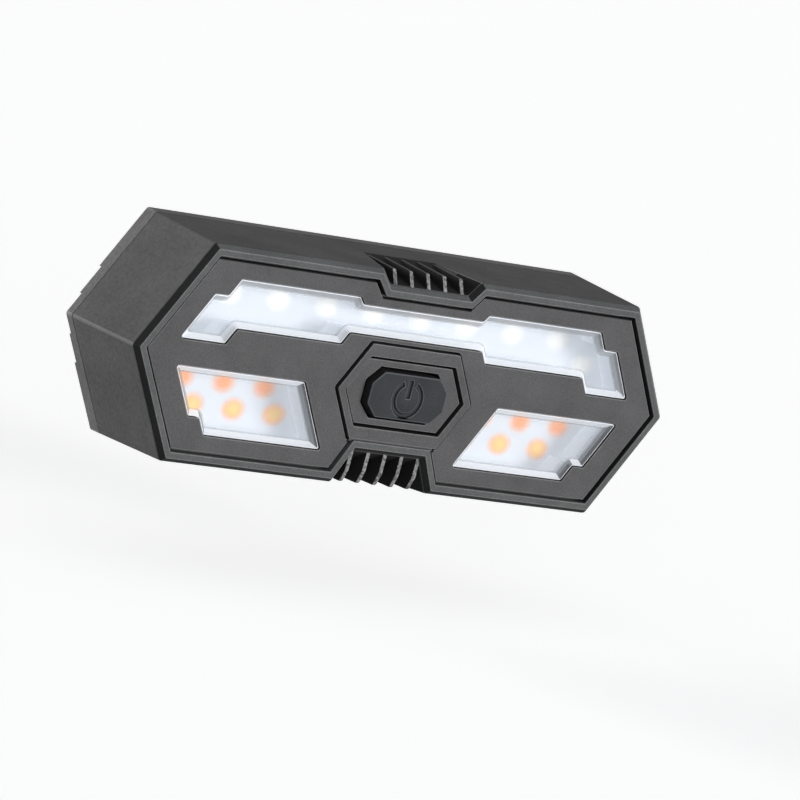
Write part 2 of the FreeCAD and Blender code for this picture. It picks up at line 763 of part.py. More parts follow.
# Face panel
RING = hexagon("ring_half", "ring_corner_x")
RING_HOLE = hexagon("ring_hole_half", "ring_hole_corner_x")
BOSSES = [
    ("inner_boss_x", "inner_boss_z"), ("-inner_boss_x", "inner_boss_z"),
    ("outer_boss_x", "outer_boss_z"), ("-outer_boss_x", "outer_boss_z"),
]
front_panel = start_body("front_panel")
prism(front_panel, casing(PANEL_EDGE), PANEL_FRONT, PANEL_BACK)
for window in (UPPER_LENS, LEFT_LENS, RIGHT_LENS):
    prism(front_panel, grown(window, "0"), PANEL_FRONT, PANEL_BACK, cut=True)
prism(front_panel, grown(RING, "ring_gap"), PANEL_FRONT, PANEL_BACK, cut=True)
rods(front_panel, BOSSES, "boss_radius", PANEL_BACK, SURROUND_BACK)
rods(front_panel, BOSSES, "(board_screw_radius + screw_gap)", "(%s - board_screw_bite)" % SURROUND_BACK,
     SURROUND_BACK, cut=True)


def lens(label, window):
    """A frosted tray: a rim level with the panel, a sunk floor and a flange behind the panel."""
    body = start_body(label)
    prism(body, grown(window, "-lens_gap"), LENS_FRONT, FLANGE_BACK)
    prism(body, grown(window, "lens_flange"), PANEL_BACK, FLANGE_BACK)
    loft(body, grown(window, "(-lens_gap - lens_rim_top)"), LENS_FRONT,
         grown(window, "(-lens_gap - lens_rim)"), "(%s + lens_recess)" % PANEL_FRONT, cut=True)
    return body


upper_lens = lens("upper_lens", UPPER_LENS)
left_lens = lens("left_lens", LEFT_LENS)
right_lens = lens("right_lens", RIGHT_LENS)

# Ring round the button, with a flange behind the panel at both slanted ends
button_ring = start_body("button_ring")
prism(button_ring, grown(RING, "0"), BEZEL_FRONT, FLANGE_BACK)
flange = grown(RING, "button_flange")
FLANGE_X = "(ring_corner_x + button_flange / sin(facet_angle * 1deg))"
for place, side, level in ((0, "", "+"), (2, "", "-"), (3, "-", "-"), (5, "-", "+")):
    flange[place] = (side + FLANGE_X, "button_z %s ring_half" % level)
prism(button_ring, flange, PANEL_BACK, FLANGE_BACK)
prism(button_ring, grown(RING_HOLE, "0"), BEZEL_FRONT, FLANGE_BACK, cut=True)

# Plate round the cap, with its flange behind the ring
button_surround = start_body("button_surround")
prism(button_surround, grown(RING_HOLE, "-surround_gap"), PANEL_FRONT, SURROUND_BACK)
prism(button_surround, grown(RING_HOLE, "button_flange"), FLANGE_BACK, SURROUND_BACK)
prism(button_surround, octagon("cap_gap"), PANEL_FRONT, SURROUND_BACK, cut=True)

# Cap with its sunk power symbol
SWITCH_FRONT = "(board_front - switch_height)"
PLUNGER_FRONT = "(%s - plunger_proud)" % SWITCH_FRONT
button_cap = start_body("button_cap")
prism(button_cap, octagon("0"), CAP_FRONT, CAP_FLANGE_BACK)
prism(button_cap, octagon("cap_flange"), CAP_FLANGE_FRONT, CAP_FLANGE_BACK)
rods(button_cap, [("0", "button_z")], "cap_stem_radius", CAP_FLANGE_BACK, "(%s - screw_gap)" % PLUNGER_FRONT)
SYMBOL_FLOOR = "(%s + symbol_depth)" % CAP_FRONT
groove = start_sketch(button_cap, "front", CAP_FRONT)
draw_circle(groove, "0", "symbol_z", "(symbol_radius + symbol_line / 2)")
draw_circle(groove, "0", "symbol_z", "(symbol_radius - symbol_line / 2)")
finish_prism(button_cap, groove, "symbol_depth", True, True)
prism(button_cap, rectangle("-symbol_gap_half", "symbol_gap_half", "symbol_z + symbol_bar_low",
                            "symbol_z + symbol_bar_high"), CAP_FRONT, SYMBOL_FLOOR)
prism(button_cap, rectangle("-symbol_line / 2", "symbol_line / 2", "symbol_z + symbol_bar_low",
                            "symbol_z + symbol_bar_high"), CAP_FRONT, SYMBOL_FLOOR, cut=True)

# Board, divider and chips
INSIDE = "(-wall - board_gap)"
led_board = start_body("led_board")
prism(led_board, casing(INSIDE), "board_front", BOARD_BACK)
rods(led_board, BOSSES, "(board_screw_radius + screw_gap)", "board_front", BOARD_BACK, cut=True)

light_divider = start_body("light_divider")
DIVIDER_BACK = "(board_front - divider_gap)"
prism(light_divider, casing(INSIDE), DIVIDER_FRONT, DIVIDER_BACK)
for window in (UPPER_LENS, LEFT_LENS, RIGHT_LENS):
    prism(light_divider, grown(window, "0"), DIVIDER_FRONT, DIVIDER_BACK, cut=True)
prism(light_divider, octagon("(cap_flange + surround_gap)"), DIVIDER_FRONT, DIVIDER_BACK, cut=True)
rods(light_divider, BOSSES, "(board_screw_radius + screw_gap)", DIVIDER_FRONT, DIVIDER_BACK, cut=True)

board_screws = group("board_screws", [
    screw("(%s)" % x, "(%s)" % z, "board_screw_radius",
          "(%s - board_screw_bite + screw_tip_gap)" % SURROUND_BACK,
          BOARD_BACK, "board_head_radius", "(%s + board_head_depth)" % BOARD_BACK)
    for x, z in BOSSES
])


def chips(label, places):
    """Light chips soldered to the front of the board."""
    pieces = []
    for x, z in places:
        pieces.append(box("Chip", "(%s - chip_size / 2)" % x, "(%s + chip_size / 2)" % x,
                          "(board_front - chip_height)", "board_front",
                          "(%s - chip_size / 2)" % z, "(%s + chip_size / 2)" % z))
    return group(label, pieces)


tail_places = [("(%g * tail_chip_pitch)" % (step - (TAIL_CHIPS - 1) / 2), "tail_chip_z")
               for step in range(TAIL_CHIPS)]
tail_places += [("tail_end_chip_x", "tail_end_chip_z"), ("(-tail_end_chip_x)", "tail_end_chip_z")]
turn_places = []
for step in range(TURN_CHIPS):
    place = "(turn_chip_x + %d * turn_chip_pitch)" % step
    turn_places.append((place, "turn_chip_z"))
    turn_places.append(("(%s + turn_row_shift)" % place, "(turn_chip_z - turn_row_drop)"))
tail_leds = chips("tail_leds", tail_places)
right_turn_leds = chips("right_turn_leds", turn_places)
left_turn_leds = chips("left_turn_leds", [("(-%s)" % x, z) for x, z in turn_places])

# Switch under the cap
tact_switch = start_body("tact_switch")
prism(tact_switch, rectangle("-switch_width / 2", "switch_width / 2", "button_z - switch_width / 2",
                             "button_z + switch_width / 2"), SWITCH_FRONT, "board_front")
rods(tact_switch, [("0", "button_z")], "(plunger_radius + plunger_gap)", SWITCH_FRONT,
     "(%s + plunger_sunk + plunger_proud + plunger_gap)" % SWITCH_FRONT, cut=True)
switch_plunger = start_body("switch_plunger")
rods(switch_plunger, [("0", "button_z")], "plunger_radius", PLUNGER_FRONT,
     "(%s + plunger_sunk)" % SWITCH_FRONT)

# Battery, its pad and its leads
BATTERY_FRONT = "(%s + pad_depth)" % BOARD_BACK
BATTERY_BACK = "(%s - battery_gap)" % COVER_SLAB
BATTERY_DEPTH = "(%s - %s)" % (BATTERY_BACK, BATTERY_FRONT)
battery = start_body("battery")
cell = prism(battery, rectangle("-battery_length / 2", "battery_length / 2", "battery_z - battery_height / 2",
                                "battery_z + battery_height / 2"), BATTERY_FRONT, BATTERY_BACK)
long_edges = ["Edge%d" % number for number, edge in enumerate(cell.Shape.Edges, start=1)
              if edge.BoundBox.XLength > 1]
rounding = battery.newObject("PartDesign::Fillet", "Rounding")
rounding.Base = (cell, long_edges)
set_size(rounding, "Radius", "%s / 4" % BATTERY_DEPTH)
doc.recompute()
battery_pad = start_body("battery_pad")
prism(battery_pad, rectangle("-pad_length / 2", "pad_length / 2", "battery_z - pad_height / 2",
                             "battery_z + pad_height / 2"), BOARD_BACK, BATTERY_FRONT)


def lead(z):
    """One wire from the battery's end, round a bend and down to the board."""
    end = "(-battery_length / 2)"
    level = "((%s + %s) / 2)" % (BATTERY_FRONT, BATTERY_BACK)
    out = doc.addObject("Part::Cylinder", "Out")
    out.Placement.Rotation = FreeCAD.Rotation(FreeCAD.Vector(0, 1, 0), -90)
    set_size(out, "Radius", "lead_radius")
    set_size(out, "Height", "lead_run")
    put(out, end, level, z)
    bend = doc.addObject("Part::Torus", "Bend")
    bend.Placement.Rotation = FreeCAD.Rotation(FreeCAD.Vector(0, 0, 1), 90)
    bend.Angle3 = 90
    set_size(bend, "Radius1", "lead_bend")
    set_size(bend, "Radius2", "lead_radius")
    put(bend, "(%s - lead_run)" % end, "(%s - lead_bend)" % level, z)
    down = cylinder("Down", "lead_radius", "(%s - lead_run - lead_bend)" % end, BOARD_BACK, z,
                    "(%s - lead_bend - %s)" % (level, BOARD_BACK))
    return joined("Part::Fuse", joined("Part::Fuse", out, bend, "Start"), down, "Lead")


battery_leads = group("battery_leads", [
    lead("(battery_z + lead_pitch / 2)"), lead("(battery_z - lead_pitch / 2)"),
])

# Radio board on its header
receiver_board = start_body("receiver_board")
RADIO_FRONT = "(%s + radio_header)" % BOARD_BACK
RADIO_BACK = "(%s + radio_board)" % RADIO_FRONT
prism(receiver_board, rectangle("radio_x - radio_length / 2", "radio_x + radio_length / 2",
                                "radio_z - radio_height / 2", "radio_z + radio_height / 2"),
      RADIO_FRONT, RADIO_BACK)
prism(receiver_board, rectangle("radio_x - radio_length / 2 + radio_board", "radio_x - radio_length / 4",
                                "radio_z - radio_height / 2 + radio_board",
                                "radio_z + radio_height / 2 - radio_board"), BOARD_BACK, RADIO_FRONT)
prism(receiver_board, rectangle("radio_x - radio_chip / 2", "radio_x + radio_chip / 2",
                                "radio_z - radio_chip / 2", "radio_z + radio_chip / 2"),
      RADIO_BACK, "(%s + radio_board)" % RADIO_BACK)

# Charging port
PORT_MOUTH = "(%s + flap_plug + plug_gap)" % FLAP_INSIDE
usb_socket = start_body("usb_socket")


def port_outline(inset):
    half_width = "(port_width / 2 - %s)" % inset
    half_height = "(port_height / 2 - %s)" % inset
    return rectangle("%s - %s" % (PORT_X, half_width), "%s + %s" % (PORT_X, half_width),
                     "%s - %s" % (PORT_Y, half_height), "%s + %s" % (PORT_Y, half_height))


level_prism(usb_socket, port_outline("0"), PORT_MOUTH, "(%s + port_length)" % PORT_MOUTH)
PORT_END = "(%s + port_length - port_back)" % PORT_MOUTH
level_prism(usb_socket, port_outline("port_shell"), PORT_MOUTH, PORT_END, cut=True)
level_prism(usb_socket, port_outline("(port_tongue * port_height)"), "(%s + port_back)" % PORT_MOUTH,
            PORT_END)

# Rubber flap over the port
FLAP_FRONT = "(%s - flap_width / 2)" % PORT_Y
FLAP_BACK = "(%s + flap_width / 2)" % PORT_Y
port_cover = start_body("port_cover")
FLAP_END = "(%s + flap_length / 2)" % PORT_X
prism(port_cover, rectangle(HINGE_X, FLAP_END, FLAP_FACE, FLAP_INSIDE), FLAP_FRONT, FLAP_BACK)
rods(port_cover, [(HINGE_X, HINGE_Z)], "flap_thickness / 2", FLAP_FRONT, FLAP_BACK)
rods(port_cover, [(HINGE_X, HINGE_Z)], "trunnion_radius", "(%s - trunnion_length)" % BED_FRONT,
     "(%s + trunnion_length)" % BED_BACK)
PLUG_HALF = "(port_width / 2 - port_gap)"
prism(port_cover, rectangle("%s - %s" % (PORT_X, PLUG_HALF), "%s + %s" % (PORT_X, PLUG_HALF),
                            FLAP_INSIDE, "%s + flap_plug" % FLAP_INSIDE),
      "(%s - port_height / 2 + port_gap)" % PORT_Y, "(%s + port_height / 2 - port_gap)" % PORT_Y)

# Slide socket on the back of the light
RAIL_TOP = "(rail_height / 2 - rail_stop)"
RAIL_LOW = "(-rail_height / 2)"
CHANNEL_FRONT = "(%s + rail_base)" % REAR_FACE
CHANNEL_BACK = "(%s + 2 * rail_play + tongue_depth)" % CHANNEL_FRONT
RAIL_BACK = "(%s + rail_lip)" % CHANNEL_BACK
BUMP_Z = "(-spring_length / 4)"
BUMP_ROOM = "(spring_bump + rail_play)"
rail_socket = start_body("rail_socket")
prism(rail_socket, rectangle("-rail_half_width", "rail_half_width", RAIL_LOW, "rail_height / 2"),
      REAR_FACE, RAIL_BACK)
prism(rail_socket, rectangle("-rail_half_width", "rail_half_width", "fit_gap - channel_half",
                             "channel_half - fit_gap"),
      "(%s - channel_depth + fit_gap)" % REAR_FACE, REAR_FACE)
prism(rail_socket, rectangle("-tongue_half_width - rail_play", "tongue_half_width + rail_play", RAIL_LOW,
                             RAIL_TOP), CHANNEL_FRONT, CHANNEL_BACK, cut=True)
prism(rail_socket, rectangle("-tongue_neck_half - rail_play", "tongue_neck_half + rail_play", RAIL_LOW,
                             RAIL_TOP), CHANNEL_BACK, RAIL_BACK, cut=True)
prism(rail_socket, rectangle("-spring_width / 2 - rail_play", "spring_width / 2 + rail_play",
                             "%s - %s" % (BUMP_Z, BUMP_ROOM), "%s + %s" % (BUMP_Z, BUMP_ROOM)),
      "(%s - rail_base / 2)" % CHANNEL_FRONT, CHANNEL_FRONT, cut=True)
rods(rail_socket, RAIL_SCREWS, "(rail_screw_radius + screw_gap)", REAR_FACE, RAIL_BACK, cut=True)
rods(rail_socket, RAIL_SCREWS, "(rail_head_radius + screw_gap)", "(%s - rail_head_depth)" % RAIL_BACK,
     RAIL_BACK, cut=True)
rail_screws = group("rail_screws", [
    screw("(%s)" % x, "(%s)" % z, "rail_screw_radius", "(%s - rail_screw_bite + screw_tip_gap)" % REAR_FACE,
          "(%s - rail_head_depth)" % RAIL_BACK, "rail_head_radius", "(%s - head_sink)" % RAIL_BACK)
    for x, z in RAIL_SCREWS
])

# Saddle on the post, with the tongue that the socket slides on
PAD_RADIUS = "(post_radius + pad_thickness)"
STRAP_MIDDLE = "(post_radius + strap_thickness / 2)"
TURN = "(strap_leave_angle * 1deg)"
PIN_X = "(%s * cos%s + strap_run * sin%s)" % (STRAP_MIDDLE, TURN, TURN)
PIN_Y = "(%s * sin%s - strap_run * cos%s)" % (STRAP_MIDDLE, TURN, TURN)
EAR_RADIUS = "(eye_radius - ear_gap)"
EAR_LOW = "(strap_width / 2 + ear_gap)"
EAR_HIGH = "(saddle_height / 2)"
TONGUE_TOP = "(%s - screw_gap)" % RAIL_TOP
TONGUE_LOW = "(-saddle_height / 2 + rail_stop)"
saddle = start_body("saddle", in_light=False)
level_prism(saddle, rectangle("-saddle_half_width", "saddle_half_width", SADDLE_FRONT, "-saddle_arm_y"),
            "-" + EAR_HIGH, EAR_HIGH)
prism(saddle, rectangle("-tongue_neck_half", "tongue_neck_half", TONGUE_LOW, TONGUE_TOP),
      TONGUE_BACK, SADDLE_FRONT)
prism(saddle, rectangle("-tongue_half_width", "tongue_half_width", TONGUE_LOW, TONGUE_TOP),
      TONGUE_FRONT, TONGUE_BACK)
for low, high in ((EAR_LOW, EAR_HIGH), ("-" + EAR_HIGH, "-" + EAR_LOW)):
    level_prism(saddle, rectangle("-" + PIN_X, PIN_X, "%s - %s" % (PIN_Y, EAR_RADIUS),
                                  "%s + %s" % (PIN_Y, EAR_RADIUS)), low, high)
    level_rods(saddle, [(PIN_X, PIN_Y), ("-" + PIN_X, PIN_Y)], EAR_RADIUS, low, high)
level_rods(saddle, [("0", "0")], PAD_RADIUS, "-" + EAR_HIGH, EAR_HIGH, cut=True)
level_rods(saddle, [(PIN_X, PIN_Y), ("-" + PIN_X, PIN_Y)], "(pin_radius + pin_gap)", "-" + EAR_HIGH,
           EAR_HIGH, cut=True)
prism(saddle, rectangle("-spring_width / 2 - rail_play", "spring_width / 2 + rail_play",
                        "-spring_length / 2 - rail_play", "spring_length / 2 + rail_play"),
      TONGUE_FRONT, "(%s + spring_pocket)" % TONGUE_FRONT, cut=True)
RIVET_Z = "(spring_length / 2 - 2 * rivet_radius)"
rods(saddle, [("0", RIVET_Z)], "(rivet_radius + screw_gap)", "(%s + spring_pocket)" % TONGUE_FRONT,
     "(%s + spring_pocket + rivet_hole)" % TONGUE_FRONT, cut=True)

# Leaf that clicks into the socket, and its rivet
SPRING_FRONT = "(%s + rivet_head)" % TONGUE_FRONT
SPRING_BACK = "(%s + spring_thickness)" % SPRING_FRONT
snap_spring = start_body("snap_spring", in_light=False)
prism(snap_spring, rectangle("-spring_width / 2", "spring_width / 2", "-spring_length / 2",
                             "spring_length / 2"), SPRING_FRONT, SPRING_BACK)
BUMP_TIP = "(%s - bump_proud)" % TONGUE_FRONT
side_prism(snap_spring, [(SPRING_FRONT, "%s - spring_bump" % BUMP_Z), (BUMP_TIP, "%s - bump_top" % BUMP_Z),
                         (BUMP_TIP, "%s + bump_top" % BUMP_Z), (SPRING_FRONT, "%s + spring_bump" % BUMP_Z)],
           "-spring_width / 2", "spring_width / 2")
rods(snap_spring, [("0", RIVET_Z)], "(rivet_radius + screw_gap)", SPRING_FRONT, SPRING_BACK, cut=True)
spring_rivet = start_body("spring_rivet", in_light=False)
rods(spring_rivet, [("0", RIVET_Z)], "rivet_radius", SPRING_FRONT,
     "(%s + spring_pocket + rivet_hole - head_sink)" % TONGUE_FRONT)
rods(spring_rivet, [("0", RIVET_Z)], "rivet_head_radius", TONGUE_FRONT, SPRING_FRONT)

# Rubber pad on the post side of the saddle


def turn(thing, angle):
    """Turn a piece about the post's axis."""
    thing.Placement.Rotation = FreeCAD.Rotation(FreeCAD.Vector(0, 0, 1), 1)
    set_size(thing, "Placement.Rotation.Angle", angle)


def arc_band(name, inner, outer, start, sweep, half_width):
    """Part of a ring round the post."""
    band = doc.addObject("Part::Cylinder", name)
    turn(band, start)
    set_size(band, "Radius", outer)
    set_size(band, "Angle", sweep)
    set_size(band, "Height", "2 * %s" % half_width)
    set_size(band, "Placement.Base.z", "-%s" % half_width)
    core = cylinder("Core", inner, "0", "0", "-%s" % half_width, "2 * %s" % half_width, along="height")
    return joined("Part::Cut", band, core, name + "Ring")


saddle_pad = arc_band("Pad", "post_radius", PAD_RADIUS, "(-90 - pad_arc / 2)", "pad_arc", "(strap_width / 2)")
saddle_pad.Label = "saddle_pad"

# Strap: one half drawn straight, turned by its leaving angle and mirrored
half_band = arc_band("Band", "post_radius", "(post_radius + strap_thickness)", "0",
                     "(90 - strap_leave_angle)", "(strap_width / 2)")
run_box = box("Run", "post_radius", "(post_radius + strap_thickness)", "(-strap_run)", "0",
              "(-strap_width / 2)", "(strap_width / 2)")
eye = cylinder("Eye", "eye_radius", STRAP_MIDDLE, "(-strap_run)", "(-strap_width / 2)", "strap_width",
               along="height")
eye_hole = cylinder("EyeHole", "(pin_radius + pin_gap)", STRAP_MIDDLE, "(-strap_run)", "(-strap_width / 2)",
                    "strap_width", along="height")
half_strap = joined("Part::Fuse", joined("Part::Fuse", half_band, run_box, "BandRun"), eye, "HalfStrap")
holed = joined("Part::Cut", half_strap, eye_hole, "HalfStrapHoled")
tail = box("Tail", "post_radius", "(post_radius + strap_thickness)", "(-strap_run - eye_radius - strap_tail)",
           "(-strap_run - tail_root * eye_radius)", "(-strap_width / 2)", "(strap_width / 2)")
fixed_end = doc.addObject("Part::Compound", "FixedEnd")
fixed_end.Links = [holed]
free_end = joined("Part::Fuse", holed, tail, "FreeEnd")
for end in (fixed_end, free_end):
    turn(end, "strap_leave_angle")
other_end = doc.addObject("Part::Mirroring", "OtherEnd")
other_end.Source = fixed_end
other_end.Normal = FreeCAD.Vector(1, 0, 0)
post_strap = joined("Part::Fuse", free_end, other_end, "Strap")
post_strap.Label = "post_strap"

strap_pins = group("strap_pins", [
    cylinder("Pin", "pin_radius", x, PIN_Y, "-" + EAR_HIGH, "2 * " + EAR_HIGH, along="height")
    for x in (PIN_X, "-" + PIN_X)
], in_light=False)

NODES = [
    housing, rear_cover, case_gasket, case_screws, front_bezel, front_panel, upper_lens, left_lens,
    right_lens, button_ring, button_surround, button_cap, led_board, light_divider, board_screws, tail_leds,
    left_turn_leds, right_turn_leds, tact_switch, switch_plunger, battery, battery_pad, battery_leads,
    receiver_board, usb_socket, port_cover, rail_socket, rail_screws, saddle, snap_spring, spring_rivet,
    saddle_pad, post_strap, strap_pins,
]

doc.recompute()
for thing in doc.Objects:
    if "Invalid" in thing.State or "Error" in thing.State:
        raise RuntimeError("%s (%s) failed: %s" % (thing.Name, thing.Label, thing.State))
for node in NODES:
    if node.Shape.isNull() or not node.Shape.isValid():
        raise RuntimeError("%s has no valid shape" % node.Label)

os.makedirs("parts", exist_ok=True)
for node in NODES:
    node.Shape.exportStep("parts/%s.step" % node.Label)
    box_of = node.Shape.BoundBox
    print("%-16s %2d solids %10.2f mm3  x %.2f %.2f  y %.2f %.2f  z %.2f %.2f" % (
        node.Label, len(node.Shape.Solids), node.Shape.Volume, box_of.XMin, box_of.XMax,
        box_of.YMin, box_of.YMax, box_of.ZMin, box_of.ZMax))
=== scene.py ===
import math

import bmesh
import bpy
from mathutils import Matrix, Vector


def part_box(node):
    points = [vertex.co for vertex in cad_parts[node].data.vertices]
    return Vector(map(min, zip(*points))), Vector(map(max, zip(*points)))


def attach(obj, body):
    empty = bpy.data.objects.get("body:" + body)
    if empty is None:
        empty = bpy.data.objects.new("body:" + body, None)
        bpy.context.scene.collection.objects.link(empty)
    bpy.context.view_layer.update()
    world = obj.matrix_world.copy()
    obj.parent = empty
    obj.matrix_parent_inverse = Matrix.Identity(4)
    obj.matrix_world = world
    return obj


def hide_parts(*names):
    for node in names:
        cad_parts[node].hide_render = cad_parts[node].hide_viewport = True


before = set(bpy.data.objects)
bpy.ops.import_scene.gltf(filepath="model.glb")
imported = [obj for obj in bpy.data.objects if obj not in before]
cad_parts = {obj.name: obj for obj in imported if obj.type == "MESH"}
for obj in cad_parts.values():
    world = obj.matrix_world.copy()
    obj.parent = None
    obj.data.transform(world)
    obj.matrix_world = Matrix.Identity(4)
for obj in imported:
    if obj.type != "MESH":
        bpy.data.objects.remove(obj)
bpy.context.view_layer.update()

bl_info = {
    "name": "Indicator tail light",
    "version": (1, 0, 0),
    "blender": (4, 5, 0),
    "location": "View3D > Sidebar > Tail light",
    "description": "Dresses the packed solids of a bicycle tail light with turn indicators",
    "category": "Object",
}

MM = 0.001

# The casing's front edge lies this far in front of the seat post's axis
STANDOFF = -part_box("housing")[0].y


def length(name, description, millimetres):
    """A length property that is written in millimetres and kept in metres."""
    return bpy.props.FloatProperty(name=name, description=description, default=millimetres * MM,
                                   unit="LENGTH", subtype="DISTANCE", precision=5)


def slant(name, description, degrees):
    return bpy.props.FloatProperty(name=name, description=description, default=math.radians(degrees),
                                   unit="ROTATION", subtype="ANGLE")


def tint(name, description, red, green, blue):
    return bpy.props.FloatVectorProperty(name=name, description=description, default=(red, green, blue),
                                         subtype="COLOR", size=3, min=0.0, max=1.0)


class CasingSizes(bpy.types.PropertyGroup):
    half_height: length("Half height", "Half the height of the casing's front edge", 17.0)
    corner_x: length("Corner", "Where the level edges end, from the middle", 41.7)
    facet: slant("Facet angle", "Slant of the end facets", 59.1)
    flare: length("Flare", "How much wider the casing is at its back", 0.62)
    shell_depth: length("Shell depth", "Depth of the front shell", 15.9)
    cover_depth: length("Cover depth", "Depth of the rear cover", 2.45)
    wall: length("Wall", "Wall of the shell", 1.8)
    thin_wall: length("Thin wall", "Wall beside the bezel's spigot and the cover's rebate", 1.0)
    ridge: length("Ridge radius", "Rounding of the long outer edges", 0.6)
    soft_edge: length("Edge rounding", "Rounding of the moulded edges", 0.16)


class NotchSizes(bpy.types.PropertyGroup):
    top_floor: length("Top floor", "Height of the top notch's floor at the front", 14.65)
    top_half: length("Top half width", "Half the width of the top notch's floor", 7.65)
    top_slant: slant("Top slant", "Slant of the top notch's sides", 49.6)
    bottom_floor: length("Bottom floor", "Depth of the bottom notch's floor at the front", 11.7)
    bottom_half: length("Bottom half width", "Half the width of the bottom notch's floor", 6.45)
    bottom_slant: slant("Bottom slant", "Slant of the bottom notch's sides", 62.0)
    run: length("Run", "How far back the notches reach", 9.2)
    narrow: length("Narrowing", "How much narrower the floor is at its back end", 0.64)
    rib_count: bpy.props.IntProperty(name="Ribs", description="Ribs in each notch", default=5, min=1)
    rib_pitch: length("Rib pitch", "From one rib to the next", 3.27)
    rib_thickness: length("Rib thickness", "Thickness of a rib", 0.8)


class FaceSizes(bpy.types.PropertyGroup):
    bevel_inset: length("Bevel inset", "Width of the bezel's chamfer", 0.75)
    bevel_depth: length("Bevel depth", "How far the bezel stands in front of the casing", 0.95)
    band: length("Band", "Width of the bezel's flat band", 1.0)
    spigot: length("Spigot", "How far the bezel reaches into the shell", 2.6)
    ledge: length("Ledge", "Ledge that carries the panel", 0.6)
    fit: length("Fit", "Clearance between fixed pieces", 0.1)
    panel_gap: length("Panel gap", "Groove between bezel and panel", 0.45)
    recess: length("Panel recess", "How far the panel lies behind the bezel's band", 0.5)
    thickness: length("Panel thickness", "Thickness of the panel", 1.5)


class LensSizes(bpy.types.PropertyGroup):
    gap: length("Gap", "Clearance of a lens in its window", 0.12)
    recess: length("Recess", "How deep a lens's floor is sunk", 1.2)
    rim: length("Rim", "Width of a lens's rim at its floor", 0.9)
    rim_top: length("Rim top", "Width of a lens's rim at the face", 0.15)
    sink: length("Sink", "How far a lens's rim lies behind the face panel", 0.3)
    flange: length("Flange", "How far a lens reaches behind the panel", 0.5)
    flange_depth: length("Flange depth", "Thickness of that reach", 0.8)
    corner: length("Corner radius", "Rounding of the windows' corners", 0.4)


class ButtonSizes(bpy.types.PropertyGroup):
    height: length("Height", "Height of the button's middle", -2.15)
    ring_half: length("Ring half height", "Half the height of the hexagonal ring", 7.55)
    hole_half: length("Hole half height", "Half the height of the ring's hole", 5.55)
    ring_x: length("Ring corner", "Where the ring's level edges end", 8.5)
    hole_x: length("Hole corner", "Where the hole's level edges end", 8.3)
    ring_gap: length("Ring gap", "Groove between ring and panel", 0.3)
    surround_gap: length("Surround gap", "Groove between ring and surround", 0.4)
    flange: length("Flange", "How far ring and surround reach behind their neighbours", 0.8)
    cap_half_width: length("Cap half width", "Half the width of the cap", 7.35)
    cap_half_height: length("Cap half height", "Half the height of the cap", 3.6)
    cap_corner: length("Cap corner", "Cut of the cap's corners", 2.0)
    cap_gap: length("Cap gap", "Clearance round the cap", 0.5)
    cap_proud: length("Cap proud", "How far the cap stands out of the face", 1.2)
    symbol_height: length("Symbol height", "Height of the symbol's middle", -2.4)
    symbol_radius: length("Symbol radius", "Radius of the symbol's ring", 2.6)
    symbol_line: length("Symbol line", "Width of the symbol's grooves", 0.8)
    symbol_depth: length("Symbol depth", "Depth of the symbol's grooves", 0.3)


class ChipSizes(bpy.types.PropertyGroup):
    size: length("Size", "Width of a light chip", 2.8)
    depth: length("Depth", "Depth of a light chip", 0.75)
    tail_pitch: length("Tail pitch", "From one tail chip to the next", 9.2)
    tail_height: length("Tail height", "Height of the tail chips", 8.7)
    end_x: length("End chip", "Place of the tail lamp's last chips", 38.4)
    end_height: length("End height", "Height of the tail lamp's last chips", 5.2)
    turn_pitch: length("Turn pitch", "From one turn chip to the next", 7.8)
    turn_x: length("Turn place", "Place of the first turn chip", 21.4)
    turn_height: length("Turn height", "Height of the upper turn chips", -5.0)
    turn_drop: length("Turn drop", "From the upper to the lower turn chips", 4.0)
    turn_shift: length("Turn shift", "Sideways shift of the lower turn chips", -3.0)


class FinishColours(bpy.types.PropertyGroup):
    shell: tint("Shell", "Moulded casing", 0.104, 0.103, 0.104)
    face: tint("Face", "Face panel and button ring", 0.114, 0.113, 0.117)
    bezel: tint("Bezel", "Bezel", 0.116, 0.120, 0.122)
    cap: tint("Cap", "Button cap", 0.045, 0.047, 0.051)
    lens: tint("Lens", "Frosted lenses", 0.93, 0.955, 1.0)
    reflector: tint("Reflector", "White plastic behind the lenses", 0.84, 0.875, 0.915)
    amber: tint("Amber", "Upper indicator chips", 1.0, 0.36, 0.12)
    yellow: tint("Yellow", "Lower indicator chips", 1.0, 0.62, 0.17)
    pale: tint("Pale", "Tail lamp chips", 1.0, 0.985, 0.93)
    bracket: tint("Bracket", "Saddle and rail socket", 0.050, 0.050, 0.052)
    rubber: tint("Rubber", "Strap, pad and flap", 0.032, 0.032, 0.033)
    steel: tint("Steel", "Screws and pins", 0.18, 0.18, 0.19)


class TailLight(bpy.types.PropertyGroup):
    casing: bpy.props.PointerProperty(type=CasingSizes)
    notch: bpy.props.PointerProperty(type=NotchSizes)
    face: bpy.props.PointerProperty(type=FaceSizes)
    lens: bpy.props.PointerProperty(type=LensSizes)
    button: bpy.props.PointerProperty(type=ButtonSizes)
    chip: bpy.props.PointerProperty(type=ChipSizes)
    colour: bpy.props.PointerProperty(type=FinishColours)


# Outlines in the face's plane, clockwise from the top: corners (x, z)

def mirrored(half):
    """A right half, from the top down, and its other side."""
    return half + [(-x, z) for x, z in reversed(half)]


def hexagon(light, half, corner_x):
    """The hexagon round the button, with ends parallel to the casing's."""
    middle = light.button.height
    tip = corner_x + half / math.tan(light.casing.facet)
    return mirrored([(corner_x, middle + half), (tip, middle), (corner_x, middle - half)])


def octagon(light, by=0.0):
    size = light.button
    wide = size.cap_half_width + by
    high = size.cap_half_height + by
    cut = size.cap_corner + by * (2 - math.sqrt(2))
    middle = size.height
    return mirrored([(wide - cut, middle + high), (wide, middle + high - cut),
                     (wide, middle - high + cut), (wide - cut, middle - high)])


